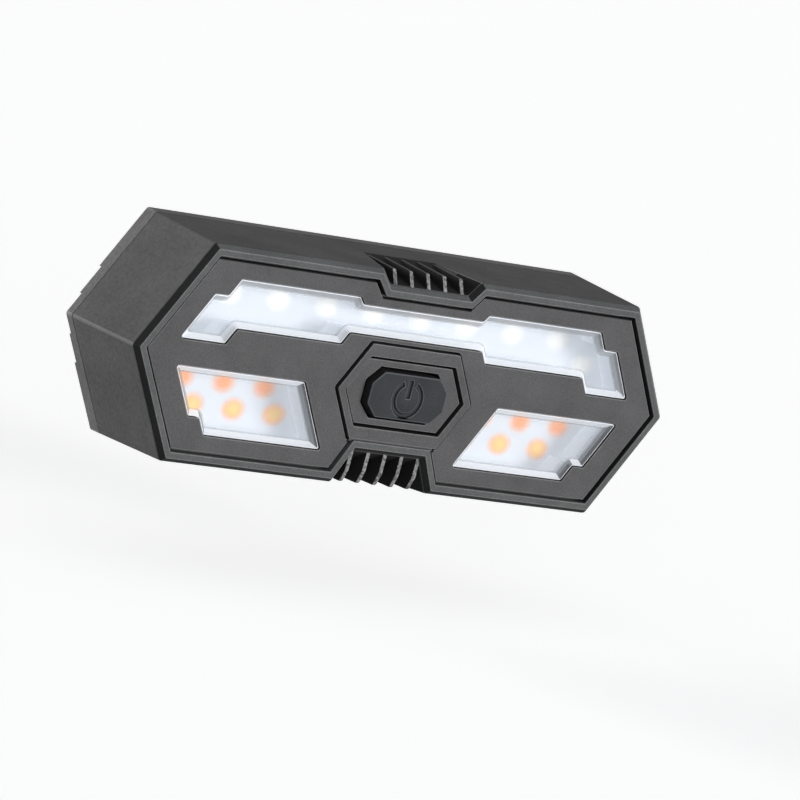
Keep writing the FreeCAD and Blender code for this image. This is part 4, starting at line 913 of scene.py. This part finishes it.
class TAILLIGHT_OT_housing(Step, bpy.types.Operator):
    """Build the shell with its ramped notches, ribs and port opening"""
    bl_idname = "taillight.housing"
    bl_label = "Housing"

    def build(self, light):
        size, notch = light.casing, light.notch
        deep = size.shell_depth + size.cover_depth

        # The corners of the outline that the long outer edges run through
        ridges = (2, 3, 4, 9, 10, 11)

        def outer_ring(level):
            """The outline at one level: the notches' floors rise to the casing's faces at the run's end."""
            spread = size.flare * level / deep
            share = min(level / notch.run, 1.0)
            full = size.half_height + size.flare * notch.run / deep
            floors = []
            for floor, half in ((notch.top_floor, notch.top_half), (notch.bottom_floor, notch.bottom_half)):
                behind = level > notch.run
                floors.append((size.half_height + spread if behind else floor + (full - floor) * share,
                               half - notch.narrow * share))
            corners = [(x, z, size.ridge if place in ridges else 0.25 * MM)
                       for place, (x, z) in enumerate(casing_outline(light, *floors, spread=spread))]
            return [row(x, level, z) for x, z in rounded(corners, 3)]

        mould = Mould()
        rings = [mould.ring(outer_ring(level))
                 for level in (0.0, notch.run / 2, notch.run, size.shell_depth)]
        thin, wall = -size.thin_wall, -size.wall
        rebate = size.shell_depth - 1.6 * MM
        outline = casing_outline(light)
        spigot = light.face.spigot
        for offset, level in ((thin, size.shell_depth), (thin, rebate), (wall, rebate), (wall, spigot),
                              (thin, spigot), (thin, 0.0)):
            rings.append(mould.outline_ring(outline, offset, level, 0.3 * MM))
        mould.walls(rings, closed=True)
        shell = new_object("shell", mould.data("shell"))

        cuts = Mould()
        low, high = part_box("port_cover")
        gap = 0.25 * MM
        bed_top = high.z - 0.8 * MM + 0.05 * MM
        block(cuts, (low.x - gap, low.y + 0.7 * MM, low.z - 2 * MM),
              (high.x + gap, high.y - 0.7 * MM, bed_top))
        shell = carved(shell, cuts.data("bed"))
        cuts = Mould()
        low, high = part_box("usb_socket")
        gap = 0.3 * MM
        block(cuts, (low.x - gap, low.y - gap, low.z - 3 * MM),
              (high.x + gap, high.y + gap, low.z + 2 * MM))
        shell = carved(shell, cuts.data("mouth"))
        high = size.half_height

        # Painted shade at the parting line and in the notches, painted highlight on the end ridges and the
        # narrow edge roundings
        def choose(middle, normal, narrow):
            level = middle.y + STANDOFF
            floor = notch.bottom_half + 2.5 * MM if middle.z < 0 else notch.top_half + 2.0 * MM
            if level > size.shell_depth - 0.3 * MM and narrow:
                return "seam"
            if 0.2 * MM < level < notch.run and abs(middle.x) < floor and abs(middle.z) < high - 0.2 * MM:
                return "recess"
            if abs(middle.z) < 0.5 * MM and abs(middle.x) > size.corner_x:
                return "ridge"
            return "edge" if narrow else "shell"

        shell = shaded(bevelled(shell, size.soft_edge, limit=32.0))
        finished(shell, ("shell", "edge", "recess", "seam", "ridge"), choose)
        back = notch.run - 0.4 * MM
        rise = size.flare * back / deep
        drop = 0.08 * MM
        profiles = {
            1: [(0.1 * MM, notch.top_floor - 0.6 * MM, 0.0), (0.1 * MM, notch.top_floor, 0.4 * MM),
                (1.4 * MM, high - drop, 0.3 * MM), (back, high - drop + rise, 0.3 * MM),
                (back, high - 1.2 * MM, 0.2 * MM)],
            -1: [(0.1 * MM, notch.bottom_floor - 0.6 * MM, 0.0),
                 (0.1 * MM, notch.bottom_floor + 3.1 * MM, 0.4 * MM),
                 (0.9 * MM, high - drop, 0.5 * MM), (back, high - drop + rise, 0.3 * MM),
                 (back, high - 2.2 * MM, 0.2 * MM)],
        }
        fins = []
        for side, profile in profiles.items():
            fin = Mould()
            half = notch.rib_thickness / 2
            ease = 0.2 * MM
            rings = []
            for across, shrink in ((-half, ease), (-half + 0.06 * MM, 0.06 * MM), (-half + ease, 0.0),
                                   (half - ease, 0.0), (half - 0.06 * MM, 0.06 * MM), (half, ease)):
                moved = grown([(y, z) for y, z, _ in profile], -shrink)
                line = rounded([(y, z, radius) for (y, z), (_, _, radius) in zip(moved, profile)], 4)
                rings.append(fin.ring([row(across, y, side * z) for y, z in line]))
            fin.solid(rings)
            rib = shaded(new_object("rib", fin.data("rib")))
            first = Vector((-(notch.rib_count - 1) / 2 * notch.rib_pitch, 0, 0))
            fins.append(in_rows(rib, "rib", first, columns=notch.rib_count,
                                column_spacing=notch.rib_pitch))
        ribs = gathered("notch_ribs", fins)

        # Painted light on the ribs' fronts, painted shade on their sides; their tops by the casing's faces
        # keep the shell finish
        def choose_rib(middle, normal, narrow):
            if normal.y < -0.5:
                return "rib"
            return "shell" if abs(normal.z) > 0.7 and abs(middle.z) > high - 0.5 * MM else "recess"

        finished(ribs, ("recess", "rib", "shell"), choose_rib)
        placed(shell, ["housing"], "light")
        placed(ribs, ["housing"], "light")


class TAILLIGHT_OT_rear_cover(Step, bpy.types.Operator):
    """Build the rear cover with its stepped channel and screw holes"""
    bl_idname = "taillight.rear_cover"
    bl_label = "Rear cover"

    def build(self, light):
        seam = light.casing.shell_depth + 0.3 * MM

        # Painted shade on the narrow faces at the parting line, painted highlight on the cover's other
        # narrow edges
        def choose(middle, normal, narrow):
            if narrow:
                return "seam" if middle.y + STANDOFF < seam else "edge"
            return "cover_rim" if abs(normal.y) < 0.3 else "shell"

        cover = softened("back_cover", "rear_cover", 0.14 * MM, limit=32.0)
        finished(cover, ("shell", "edge", "seam", "cover_rim"), choose)
        placed(cover, ["rear_cover"], "light")


class TAILLIGHT_OT_bezel(Step, bpy.types.Operator):
    """Build the bevelled frame round the face"""
    bl_idname = "taillight.bezel"
    bl_label = "Bezel"

    def build(self, light):
        size, face = light.casing, light.face
        outline = casing_outline(light)
        front, _, panel_back = levels(light)
        band = -face.bevel_inset - face.band
        spigot = -size.thin_wall - face.fit
        soft = size.soft_edge
        mould = Mould()
        rings = mould.sweep(outline, [
            (spigot, face.spigot, 0), (spigot, 0.0, 0), (0.0, 0.0, 0.06 * MM),
            (-face.bevel_inset, front, 0.2 * MM), (band, front, soft), (band, panel_back, 0.0),
            (band, panel_back, 0),
        ], size.ridge, slots=(3, 3, 3, 3, 2, 1, 0, 1, 2, 3, 3))
        ledge = band - face.panel_gap - face.ledge
        inner = []
        near_notch = min(light.notch.bottom_half + 3 * MM, 12 * MM)
        for level in (panel_back, face.spigot):
            moved = eased(outline, ledge, size.ridge)
            kept = eased(outline, band, size.ridge)
            points = []
            # There is no ledge beside the bottom notch's floor
            for (x, z), (x2, z2) in zip(moved, kept):
                bottom = -size.half_height < z2 < -light.notch.bottom_floor + 3 * MM
                points.append((x2, z2) if bottom and abs(x2) < near_notch else (x, z))
            inner.append(mould.ring([row(x, level, z) for x, z in points]))
        mould.walls(rings[-1:] + inner + rings[:1])
        # Bezel plastic on the band, painted highlight on the roundings, painted shade on the chamfer, the
        # inner wall and the spigot
        bezel = dressed("bezel", mould, "bezel", "edge", "chamfer", "groove")

        def in_painted_light(middle, normal):
            """Painted light: the upper chamfer, and the lower wall round the panel, take the plain bezel
            finish instead of painted shade.
            """
            high = normal.y < -0.3 and normal.x > -0.3 and middle.z > 0
            low = normal.y > -0.3 and middle.z < -light.notch.bottom_floor
            return normal.z > 0.3 and (high or low)

        refinished(bezel, "chamfer", "bezel", in_painted_light)
        placed(bezel, ["front_bezel"], "light")


class TAILLIGHT_OT_panel(Step, bpy.types.Operator):
    """Build the face panel with its windows"""
    bl_idname = "taillight.panel"
    bl_label = "Face panel"

    def build(self, light):
        face, soft = light.face, light.casing.soft_edge
        _, front, back = levels(light)
        edge = -face.bevel_inset - face.band - face.panel_gap
        mould = Mould()
        corner = light.lens.corner
        loops = [(casing_outline(light), edge, -1, light.casing.ridge, None)]
        for window in (upper_window(light), left_window(light), right_window(light)):
            loops.append((window, 0.0, 1, corner, corner))
        ring = hexagon(light, light.button.ring_half, light.button.ring_x)
        loops.append((ring, light.button.ring_gap, 1, 0.3 * MM, None))
        fronts, backs = [], []
        for outline, offset, side, radius, inner in loops:
            rings = mould.sweep(outline, lip(offset, front, back, soft, side), radius, inner=inner,
                                slots=(0, 1, 2))
            fronts.append(rings[0])
            backs.append(rings[-1])
        mould.close(*fronts)
        mould.close(*backs)
        # Painted highlight on the panel's edge roundings, painted shade on its walls
        panel = dressed("face_panel", mould, "face", "edge", "groove")

        def in_painted_shadow(middle, normal):
            """Painted shadow instead of painted highlight on the edges along the panel's top, and right of
            the button's ring.
            """
            top = normal.z > 0.2 and middle.z > 12.2 * MM
            level = abs(middle.z - light.button.height) < 8.2 * MM
            return top or (normal.x < -0.2 and 8 * MM < middle.x < 15 * MM and level)

        refinished(panel, "edge", "groove", in_painted_shadow)
        placed(panel, ["front_panel"], "light")


class TAILLIGHT_OT_lenses(Step, bpy.types.Operator):
    """Build the three frosted lenses"""
    bl_idname = "taillight.lenses"
    bl_label = "Lenses"

    def build(self, light):
        size = light.lens
        _, front, panel_back = levels(light)
        back = panel_back + size.flange_depth
        for node, window in (("upper_lens", upper_window(light)), ("left_lens", left_window(light)),
                             ("right_lens", right_window(light))):
            mould = Mould()
            floor, rim = front + size.recess, front + size.sink
            rings = mould.sweep(window, [
                (-size.gap - size.rim - 0.2 * MM, floor, 0), (-size.gap - size.rim, floor, 0.16 * MM),
                (-size.gap - size.rim_top, rim, 0.05 * MM), (-size.gap, rim, 0.08 * MM),
                (-size.gap, panel_back, 0.0), (size.flange, panel_back, 0.05 * MM), (size.flange, back, 0),
            ], size.corner, inner=size.corner, slots=(2, 2, 1, 1, 1, 1))
            mould.close(rings[0])
            mould.close(rings[-1])
            # Painted shade: the upper lens is greyer along its top rim, the lower ones at their ends
            if node == "upper_lens":
                grey, where = "lens_shade", lambda middle, normal: normal.z < -0.3
            else:
                grey, where = "lens_end", lambda middle, normal: abs(normal.x) > 0.3
            # The fold gets painted shade, the rim a painted glow
            lens = dressed(node + "_tray", mould, "lens", "lens_rim", "lens_fold_shade", grey)
            refinished(lens, "lens_rim", grey, where)
            placed(lens, [node], "light")


class TAILLIGHT_OT_button(Step, bpy.types.Operator):
    """Build the ring, the surround and the cap with its symbol"""
    bl_idname = "taillight.button"
    bl_label = "Button"

    def build(self, light):
        size, soft = light.button, light.casing.soft_edge
        front, panel_front, panel_back = levels(light)
        flange_back = panel_back + light.lens.flange_depth
        surround_back = panel_back + 2 * light.lens.flange_depth

        mould = Mould()
        outer = hexagon(light, size.ring_half, size.ring_x)
        hole = hexagon(light, size.hole_half, size.hole_x)
        slots = (0, 1, 2)
        out = mould.sweep(outer, lip(0.0, front, panel_back, soft, -1), 0.3 * MM, slots=slots)
        flange = hexagon(light, size.ring_half - 0.02 * MM,
                         size.ring_x + size.flange / math.sin(light.casing.facet))
        out += [mould.outline_ring(flange, 0.0, level, 0.3 * MM) for level in (panel_back, flange_back)]
        mould.wall(out[-3], out[-2], 2)
        mould.wall(out[-2], out[-1], 2)
        inn = mould.sweep(hole, lip(0.0, front, flange_back, soft, 1), 0.3 * MM, slots=slots)
        mould.wall(out[0], inn[0])
        mould.wall(out[-1], inn[-1])
        # Painted highlight on the ring's edge roundings, painted shade on its walls
        ring = dressed("hexagon_ring", mould, "face", "edge", "groove")
        placed(ring, ["button_ring"], "light")

        mould = Mould()
        profile = lip(-size.surround_gap, panel_front, flange_back, soft, -1)
        profile += [(size.flange, flange_back, 0), (size.flange, surround_back, 0)]
        plate = mould.sweep(hole, profile, 0.3 * MM, slots=(0, 1, 2, 2, 2, 2, 2))
        pocket = mould.sweep(octagon(light, size.cap_gap), lip(0.0, panel_front, surround_back, soft, 1),
                             0.4 * MM, slots=slots)
        mould.close(plate[0], pocket[0])
        mould.close(plate[-1], pocket[-1])
        # Painted highlight on the surround's edge roundings, painted shade on its walls and the pocket's
        surround = dressed("pocket_plate", mould, "face", "edge", "groove")
        placed(surround, ["button_surround"], "light")

        mould = Mould()
        top = panel_front - size.cap_proud
        flange_front = surround_back + 0.1 * MM
        cap_back = flange_front + 0.7 * MM
        rings = mould.sweep(octagon(light), [
            (-0.4 * MM, top, 0), (0.0, top, 0.2 * MM), (0.0, flange_front, 0), (1.1 * MM, flange_front, 0),
            (1.1 * MM, cap_back, 0)], 0.5 * MM, corner_steps=4, slots=(0, 1, 2, 2, 2))
        marks = []
        half = size.symbol_line / 2
        middle = size.symbol_height
        gap = math.asin(1.2 * MM / size.symbol_radius)
        steps = 40
        arc = []
        for radius, order in ((size.symbol_radius + half, 1), (size.symbol_radius - half, -1)):
            for step in range(0, steps + 1)[::order]:
                angle = gap + (2 * math.pi - 2 * gap) * step / steps
                arc.append((radius * math.sin(angle), middle + radius * math.cos(angle)))
        bar = [(-half, middle + 3.05 * MM), (half, middle + 3.05 * MM), (half, middle + 0.1 * MM),
               (-half, middle + 0.1 * MM)]
        for outline in (arc, bar):
            lips = []
            for offset, depth in ((0.12 * MM, 0.0), (0.0, 0.07 * MM), (-0.2 * MM, size.symbol_depth)):
                lips.append(mould.ring([row(x, top + depth, z) for x, z in grown(outline, offset)]))
            mould.wall(lips[0], lips[1], 1)
            mould.wall(lips[1], lips[2], 2)
            mould.close(lips[-1])
            marks.append(lips[0])
        mould.close(rings[0], *marks)
        mould.close(rings[-1])
        # Painted highlight on the cap's edges and the symbol's lips, painted shade on the cap's sides and
        # in the symbol's grooves
        cap = dressed("push_cap", mould, "cap", "cap_edge_highlight", "groove")
        placed(cap, ["button_cap"], "button")


class TAILLIGHT_OT_lamps(Step, bpy.types.Operator):
    """Build the chips and finish the board and the white divider behind the lenses"""
    bl_idname = "taillight.lamps"
    bl_label = "Chips and board"

    def build(self, light):
        size = light.chip
        coat("led_board", "board")
        coat("light_divider", "reflector")
        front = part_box("led_board")[0].y

        def chip(name):
            mould = Mould()
            half = size.size / 2

            def square(reach, level):
                corners = [(-reach, -reach, 0.2 * MM), (reach, -reach, 0.2 * MM),
                           (reach, reach, 0.2 * MM), (-reach, reach, 0.2 * MM)]
                return mould.ring([Vector((x, level, z)) for x, z in rounded(corners, 5)])

            def circle(radius, level):
                points = []
                for step in range(24):
                    angle = math.pi * (1.25 - 2 * (step - 2.5) / 24) + math.pi
                    points.append(Vector((-radius * math.cos(angle), level, radius * math.sin(angle))))
                return mould.ring(points)

            body = [square(half, 0.0), square(half - 0.05 * MM, -size.depth * 0.04),
                    square(half - 0.20 * MM, -size.depth * 0.06)]
            mould.walls(body)
            mould.close(body[0])
            dome = [circle(radius * MM, -size.depth * share) for radius, share in (
                (1.15, 0.06), (1.05, 0.10), (0.85, 0.15), (0.6, 0.19), (0.3, 0.21))]
            mould.walls(dome)
            mould.close(dome[-1])
            mould.close(body[-1], dome[0])
            return shaded(new_object(name, mould.data(name)))

        pitch = size.tail_pitch
        tail = [
            in_rows(chip("row"), "pale", (-3.5 * pitch, front, size.tail_height), columns=8,
                    column_spacing=pitch),
            in_rows(chip("ends"), "pale", (-size.end_x, front, size.end_height), columns=2,
                    column_spacing=2 * size.end_x),
        ]
        placed(gathered("tail_chips", tail), ["tail_leds"], "light")
        for name, node, side in (("right_chips", "right_turn_leds", 1),
                                 ("left_chips", "left_turn_leds", -1)):
            chips = in_rows(chip(name), "amber", (side * size.turn_x, front, size.turn_height),
                            columns=3, rows=2, column_spacing=side * size.turn_pitch,
                            row_spacing=-size.turn_drop, row_shift=side * size.turn_shift)
            placed(chips, [node], "light")


class TAILLIGHT_OT_fasteners(Step, bpy.types.Operator):
    """Build the screws and the strap's pins"""
    bl_idname = "taillight.fasteners"
    bl_label = "Screws and pins"

    def build(self, light):
        def screw(name, node, head_radius, head_depth, radius):
            """One slotted screw round the origin, with its head's top at y = 0."""
            low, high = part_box(node)
            span = high.y - low.y
            mould = Mould()
            turned(mould, [(radius * 0.5, -span), (radius, -span + radius * 0.5), (radius, -head_depth),
                           (head_radius, -head_depth), (head_radius, -0.25 * head_depth),
                           (head_radius * 0.94, -0.08 * head_depth), (head_radius * 0.8, 0.0)])
            piece = new_object(name, mould.data(name))
            slot = Mould()
            reach, half = head_radius * 2, 0.15 * head_radius
            block(slot, (-reach, -0.45 * head_depth, -half), (reach, head_depth, half))
            carved(piece, slot.data("slot"))
            return shaded(bevelled(piece, 0.03 * MM, segments=1, limit=50.0))

        # Groups by half the spacing across, the height, and whether they are mirrored downwards
        for name, node, sizes, groups in (
                ("cover_screws", "case_screws", (1.9, 1.1, 1.0),
                 (("corners", 40.8, 11.2, True), ("middle", 16.0, 13.4, False))),
                ("socket_screws", "rail_screws", (1.25, 0.9, 0.8), (("socket_screws", 9.3, 8.6, True),)),
                ("divider_screws", "board_screws", (1.3, 0.9, 0.7),
                 (("inner", 17.5, 0.5, False), ("outer", 39.0, -0.05, False)))):
            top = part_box(node)[1].y
            parts = [in_rows(screw(group, node, *[size * MM for size in sizes]), "screw",
                             (-across * MM, top, height * MM), columns=2, rows=2 if twice else 1,
                             column_spacing=2 * across * MM, row_spacing=-2 * height * MM)
                     for group, across, height, twice in groups]
            placed(parts[0] if len(parts) == 1 else gathered(name, parts), [node], "light")
        low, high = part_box("strap_pins")
        radius = 1.3 * MM
        mould = Mould()
        ease, turn = 0.3 * MM, 0.09 * MM
        for side in (1, -1):
            centre = (side * (high.x - radius), (low.y + high.y) / 2, 0.0)
            turned(mould, [(radius - ease, low.z), (radius - turn, low.z + turn), (radius, low.z + ease),
                           (radius, high.z - ease), (radius - turn, high.z - turn),
                           (radius - ease, high.z)], centre=centre, axis="height")
        pins = shaded(new_object("hook_pins", mould.data("hook_pins")))
        pins.data.materials.append(FINISHES["screw"])
        placed(pins, ["strap_pins"], "bracket")


class TAILLIGHT_OT_port(Step, bpy.types.Operator):
    """Build the rubber flap and finish the charging socket"""
    bl_idname = "taillight.port"
    bl_label = "Charging port"

    def build(self, light):
        flap = softened("port_flap", "port_cover", 0.18 * MM)
        flap.data.materials.append(FINISHES["rubber"])
        placed(flap, ["port_cover"], "flap")
        coat("usb_socket", "port")


class TAILLIGHT_OT_insides(Step, bpy.types.Operator):
    """Finish the solids inside the casing"""
    bl_idname = "taillight.insides"
    bl_label = "Insides"

    def build(self, light):
        for node, finish in (("case_gasket", "rubber"), ("tact_switch", "switch"),
                             ("switch_plunger", "plunger"), ("battery", "cell"), ("battery_pad", "foam"),
                             ("battery_leads", "leads"), ("receiver_board", "board")):
            coat(node, finish)


class TAILLIGHT_OT_bracket(Step, bpy.types.Operator):
    """Build the rail socket, the saddle, its pad, the strap and the snap spring"""
    bl_idname = "taillight.bracket"
    bl_label = "Bracket"

    def build(self, light):
        for name, node, width, finish, body, slot in (
                ("slide_socket", "rail_socket", 0.2 * MM, "bracket", "light", "bracket"),
                ("post_saddle", "saddle", 0.3 * MM, "bracket", "bracket", "bracket"),
                ("grip_pad", "saddle_pad", 0.25 * MM, "rubber", "bracket", "rubber"),
                ("rubber_strap", "post_strap", 0.4 * MM, "rubber", "bracket", "rubber"),
                ("leaf_spring", "snap_spring", 0.04 * MM, "spring", "bracket", "spring"),
                ("leaf_rivet", "spring_rivet", 0.06 * MM, "screw", "bracket", "screw")):
            piece = softened(name, node, width)
            piece.data.materials.append(FINISHES[finish])
            placed(piece, [node], body)


def seen_rays(tree):
    """One for rays that show the background: from the camera, off a gloss or through a clear piece."""
    ray = tree.nodes.new("ShaderNodeLightPath").outputs
    return sums(tree, "MAXIMUM", sums(tree, "MAXIMUM", ray["Is Camera Ray"], ray["Is Glossy Ray"]),
                ray["Is Transmission Ray"])


class TAILLIGHT_OT_stage(Step, bpy.types.Operator):
    """Build the floor, the lights, the world and the camera"""
    bl_idname = "taillight.stage"
    bl_label = "Stage"

    def build(self, light):
        scene = bpy.context.scene
        scene.view_settings.view_transform = "Standard"

        # A round paper floor, so wide that its edge is out of sight
        reach, level, sides = 6, -0.034, 96
        mould = Mould()
        turns = [2 * math.pi * step / sides for step in range(sides)]
        mould.close(mould.ring([Vector((reach * math.cos(turn), reach * math.sin(turn), level))
                                for turn in turns]))
        floor = new_object("floor", mould.data("floor"))
        paper = Finish("pale floor")
        seen = seen_rays(paper.tree)
        pale = paper.mixed(paper.noise(3.0), (0.86, 0.86, 0.865), (0.88, 0.88, 0.885))
        paper.set(Base_Color=paper.mixed(seen, (0.35, 0.35, 0.35), pale), Roughness=0.9,
                  Specular_IOR_Level=0.1)
        glow = paper.node("Emission", Color=(1.0, 1.0, 1.0),
                          Strength=sums(paper.tree, "MULTIPLY", seen, 0.56))
        both = paper.node("AddShader")
        plug(both.inputs[0], paper.shader.outputs[0])
        plug(both.inputs[1], glow.outputs[0])
        plug(paper.output.inputs["Surface"], both.outputs[0])
        floor.data.materials.append(paper.material)

        # The pieces are lit by a softer sky than the one behind them
        world = bpy.data.worlds.new("studio")
        scene.world = world
        world.use_nodes = True
        tree = world.node_tree
        tree.nodes.clear()
        soft = wired(tree, "ShaderNodeBackground", Color=(0.93, 0.96, 1.0), Strength=0.20)
        pale = wired(tree, "ShaderNodeBackground", Strength=0.9)
        wired(tree, "ShaderNodeOutputWorld",
              Surface=blended(tree, seen_rays(tree), soft.outputs[0], pale.outputs[0]))

        # Far soft lamps: the way to each, its strength, how wide it looks in degrees, and its colour
        for name, towards, strength, width, colour in (
                ("key", (0.57, -0.82, 0.07), 3.65, 32.0, (1.0, 0.995, 0.985)),
                ("fill", (-0.55, -0.82, 0.06), 0.9, 40.0, (0.97, 0.985, 1.0)),
                ("rim", (-0.70, 0.71, 0.02), 5.6, 32.0, (1.0, 0.985, 0.96))):
            data = bpy.data.lights.new(name, "SUN")
            data.energy = strength
            data.angle = math.radians(width)
            data.color = colour
            new_object(name, data).rotation_euler = (-Vector(towards)).to_track_quat("-Z", "Y").to_euler()

        # The camera looks at the middle of the casing's front edge, from the photograph's side
        angle, rise, roll = math.radians(-38.79), math.radians(8.98), math.radians(14.86)
        away, to_right, upwards, nearness = 1.102, 0.00095, 0.00327, 0.85
        back = Vector((math.sin(angle) * math.cos(rise), -math.cos(angle) * math.cos(rise), math.sin(rise)))
        level_right = Vector((math.cos(angle), math.sin(angle), 0))
        level_up = back.cross(level_right)
        right = level_right * math.cos(roll) + level_up * math.sin(roll)
        up = level_up * math.cos(roll) - level_right * math.sin(roll)
        place = Vector((0, -STANDOFF, 0)) + (back * away - right * to_right - up * upwards) * nearness
        data = bpy.data.cameras.new("camera")
        data.lens, data.sensor_width = 275.4, 36.0
        data.clip_start, data.clip_end = 0.05, 50.0
        camera = new_object("camera", data)
        camera.matrix_world = Matrix.Translation(place) @ Matrix((right, up, back)).transposed().to_4x4()
        scene.camera = camera


OPERATORS = (
    TAILLIGHT_OT_finishes, TAILLIGHT_OT_housing, TAILLIGHT_OT_rear_cover, TAILLIGHT_OT_bezel,
    TAILLIGHT_OT_panel, TAILLIGHT_OT_lenses, TAILLIGHT_OT_button, TAILLIGHT_OT_lamps,
    TAILLIGHT_OT_fasteners, TAILLIGHT_OT_port, TAILLIGHT_OT_insides, TAILLIGHT_OT_bracket,
    TAILLIGHT_OT_stage,
)


class TAILLIGHT_PT_pieces(bpy.types.Panel):
    """Lists the operators that build the tail light"""
    bl_idname = "TAILLIGHT_PT_pieces"
    bl_label = "Tail light"
    bl_space_type = "VIEW_3D"
    bl_region_type = "UI"
    bl_category = "Tail light"

    def draw(self, context):
        light = context.scene.tail_light
        for group in TailLight.__annotations__:
            box = self.layout.box()
            sizes = getattr(light, group)
            for name in sizes.__annotations__:
                box.prop(sizes, name)
        for operator in OPERATORS:
            self.layout.operator(operator.bl_idname)


CLASSES = (CasingSizes, NotchSizes, FaceSizes, LensSizes, ButtonSizes, ChipSizes, FinishColours,
           TailLight, *OPERATORS, TAILLIGHT_PT_pieces)


def register():
    for item in CLASSES:
        bpy.utils.register_class(item)
    bpy.types.Scene.tail_light = bpy.props.PointerProperty(type=TailLight)


def unregister():
    del bpy.types.Scene.tail_light
    for item in reversed(CLASSES):
        bpy.utils.unregister_class(item)


def main():
    register()
    for operator in OPERATORS:
        family, name = operator.bl_idname.split(".")
        getattr(getattr(bpy.ops, family), name)()


if __name__ == "__main__":
    main()
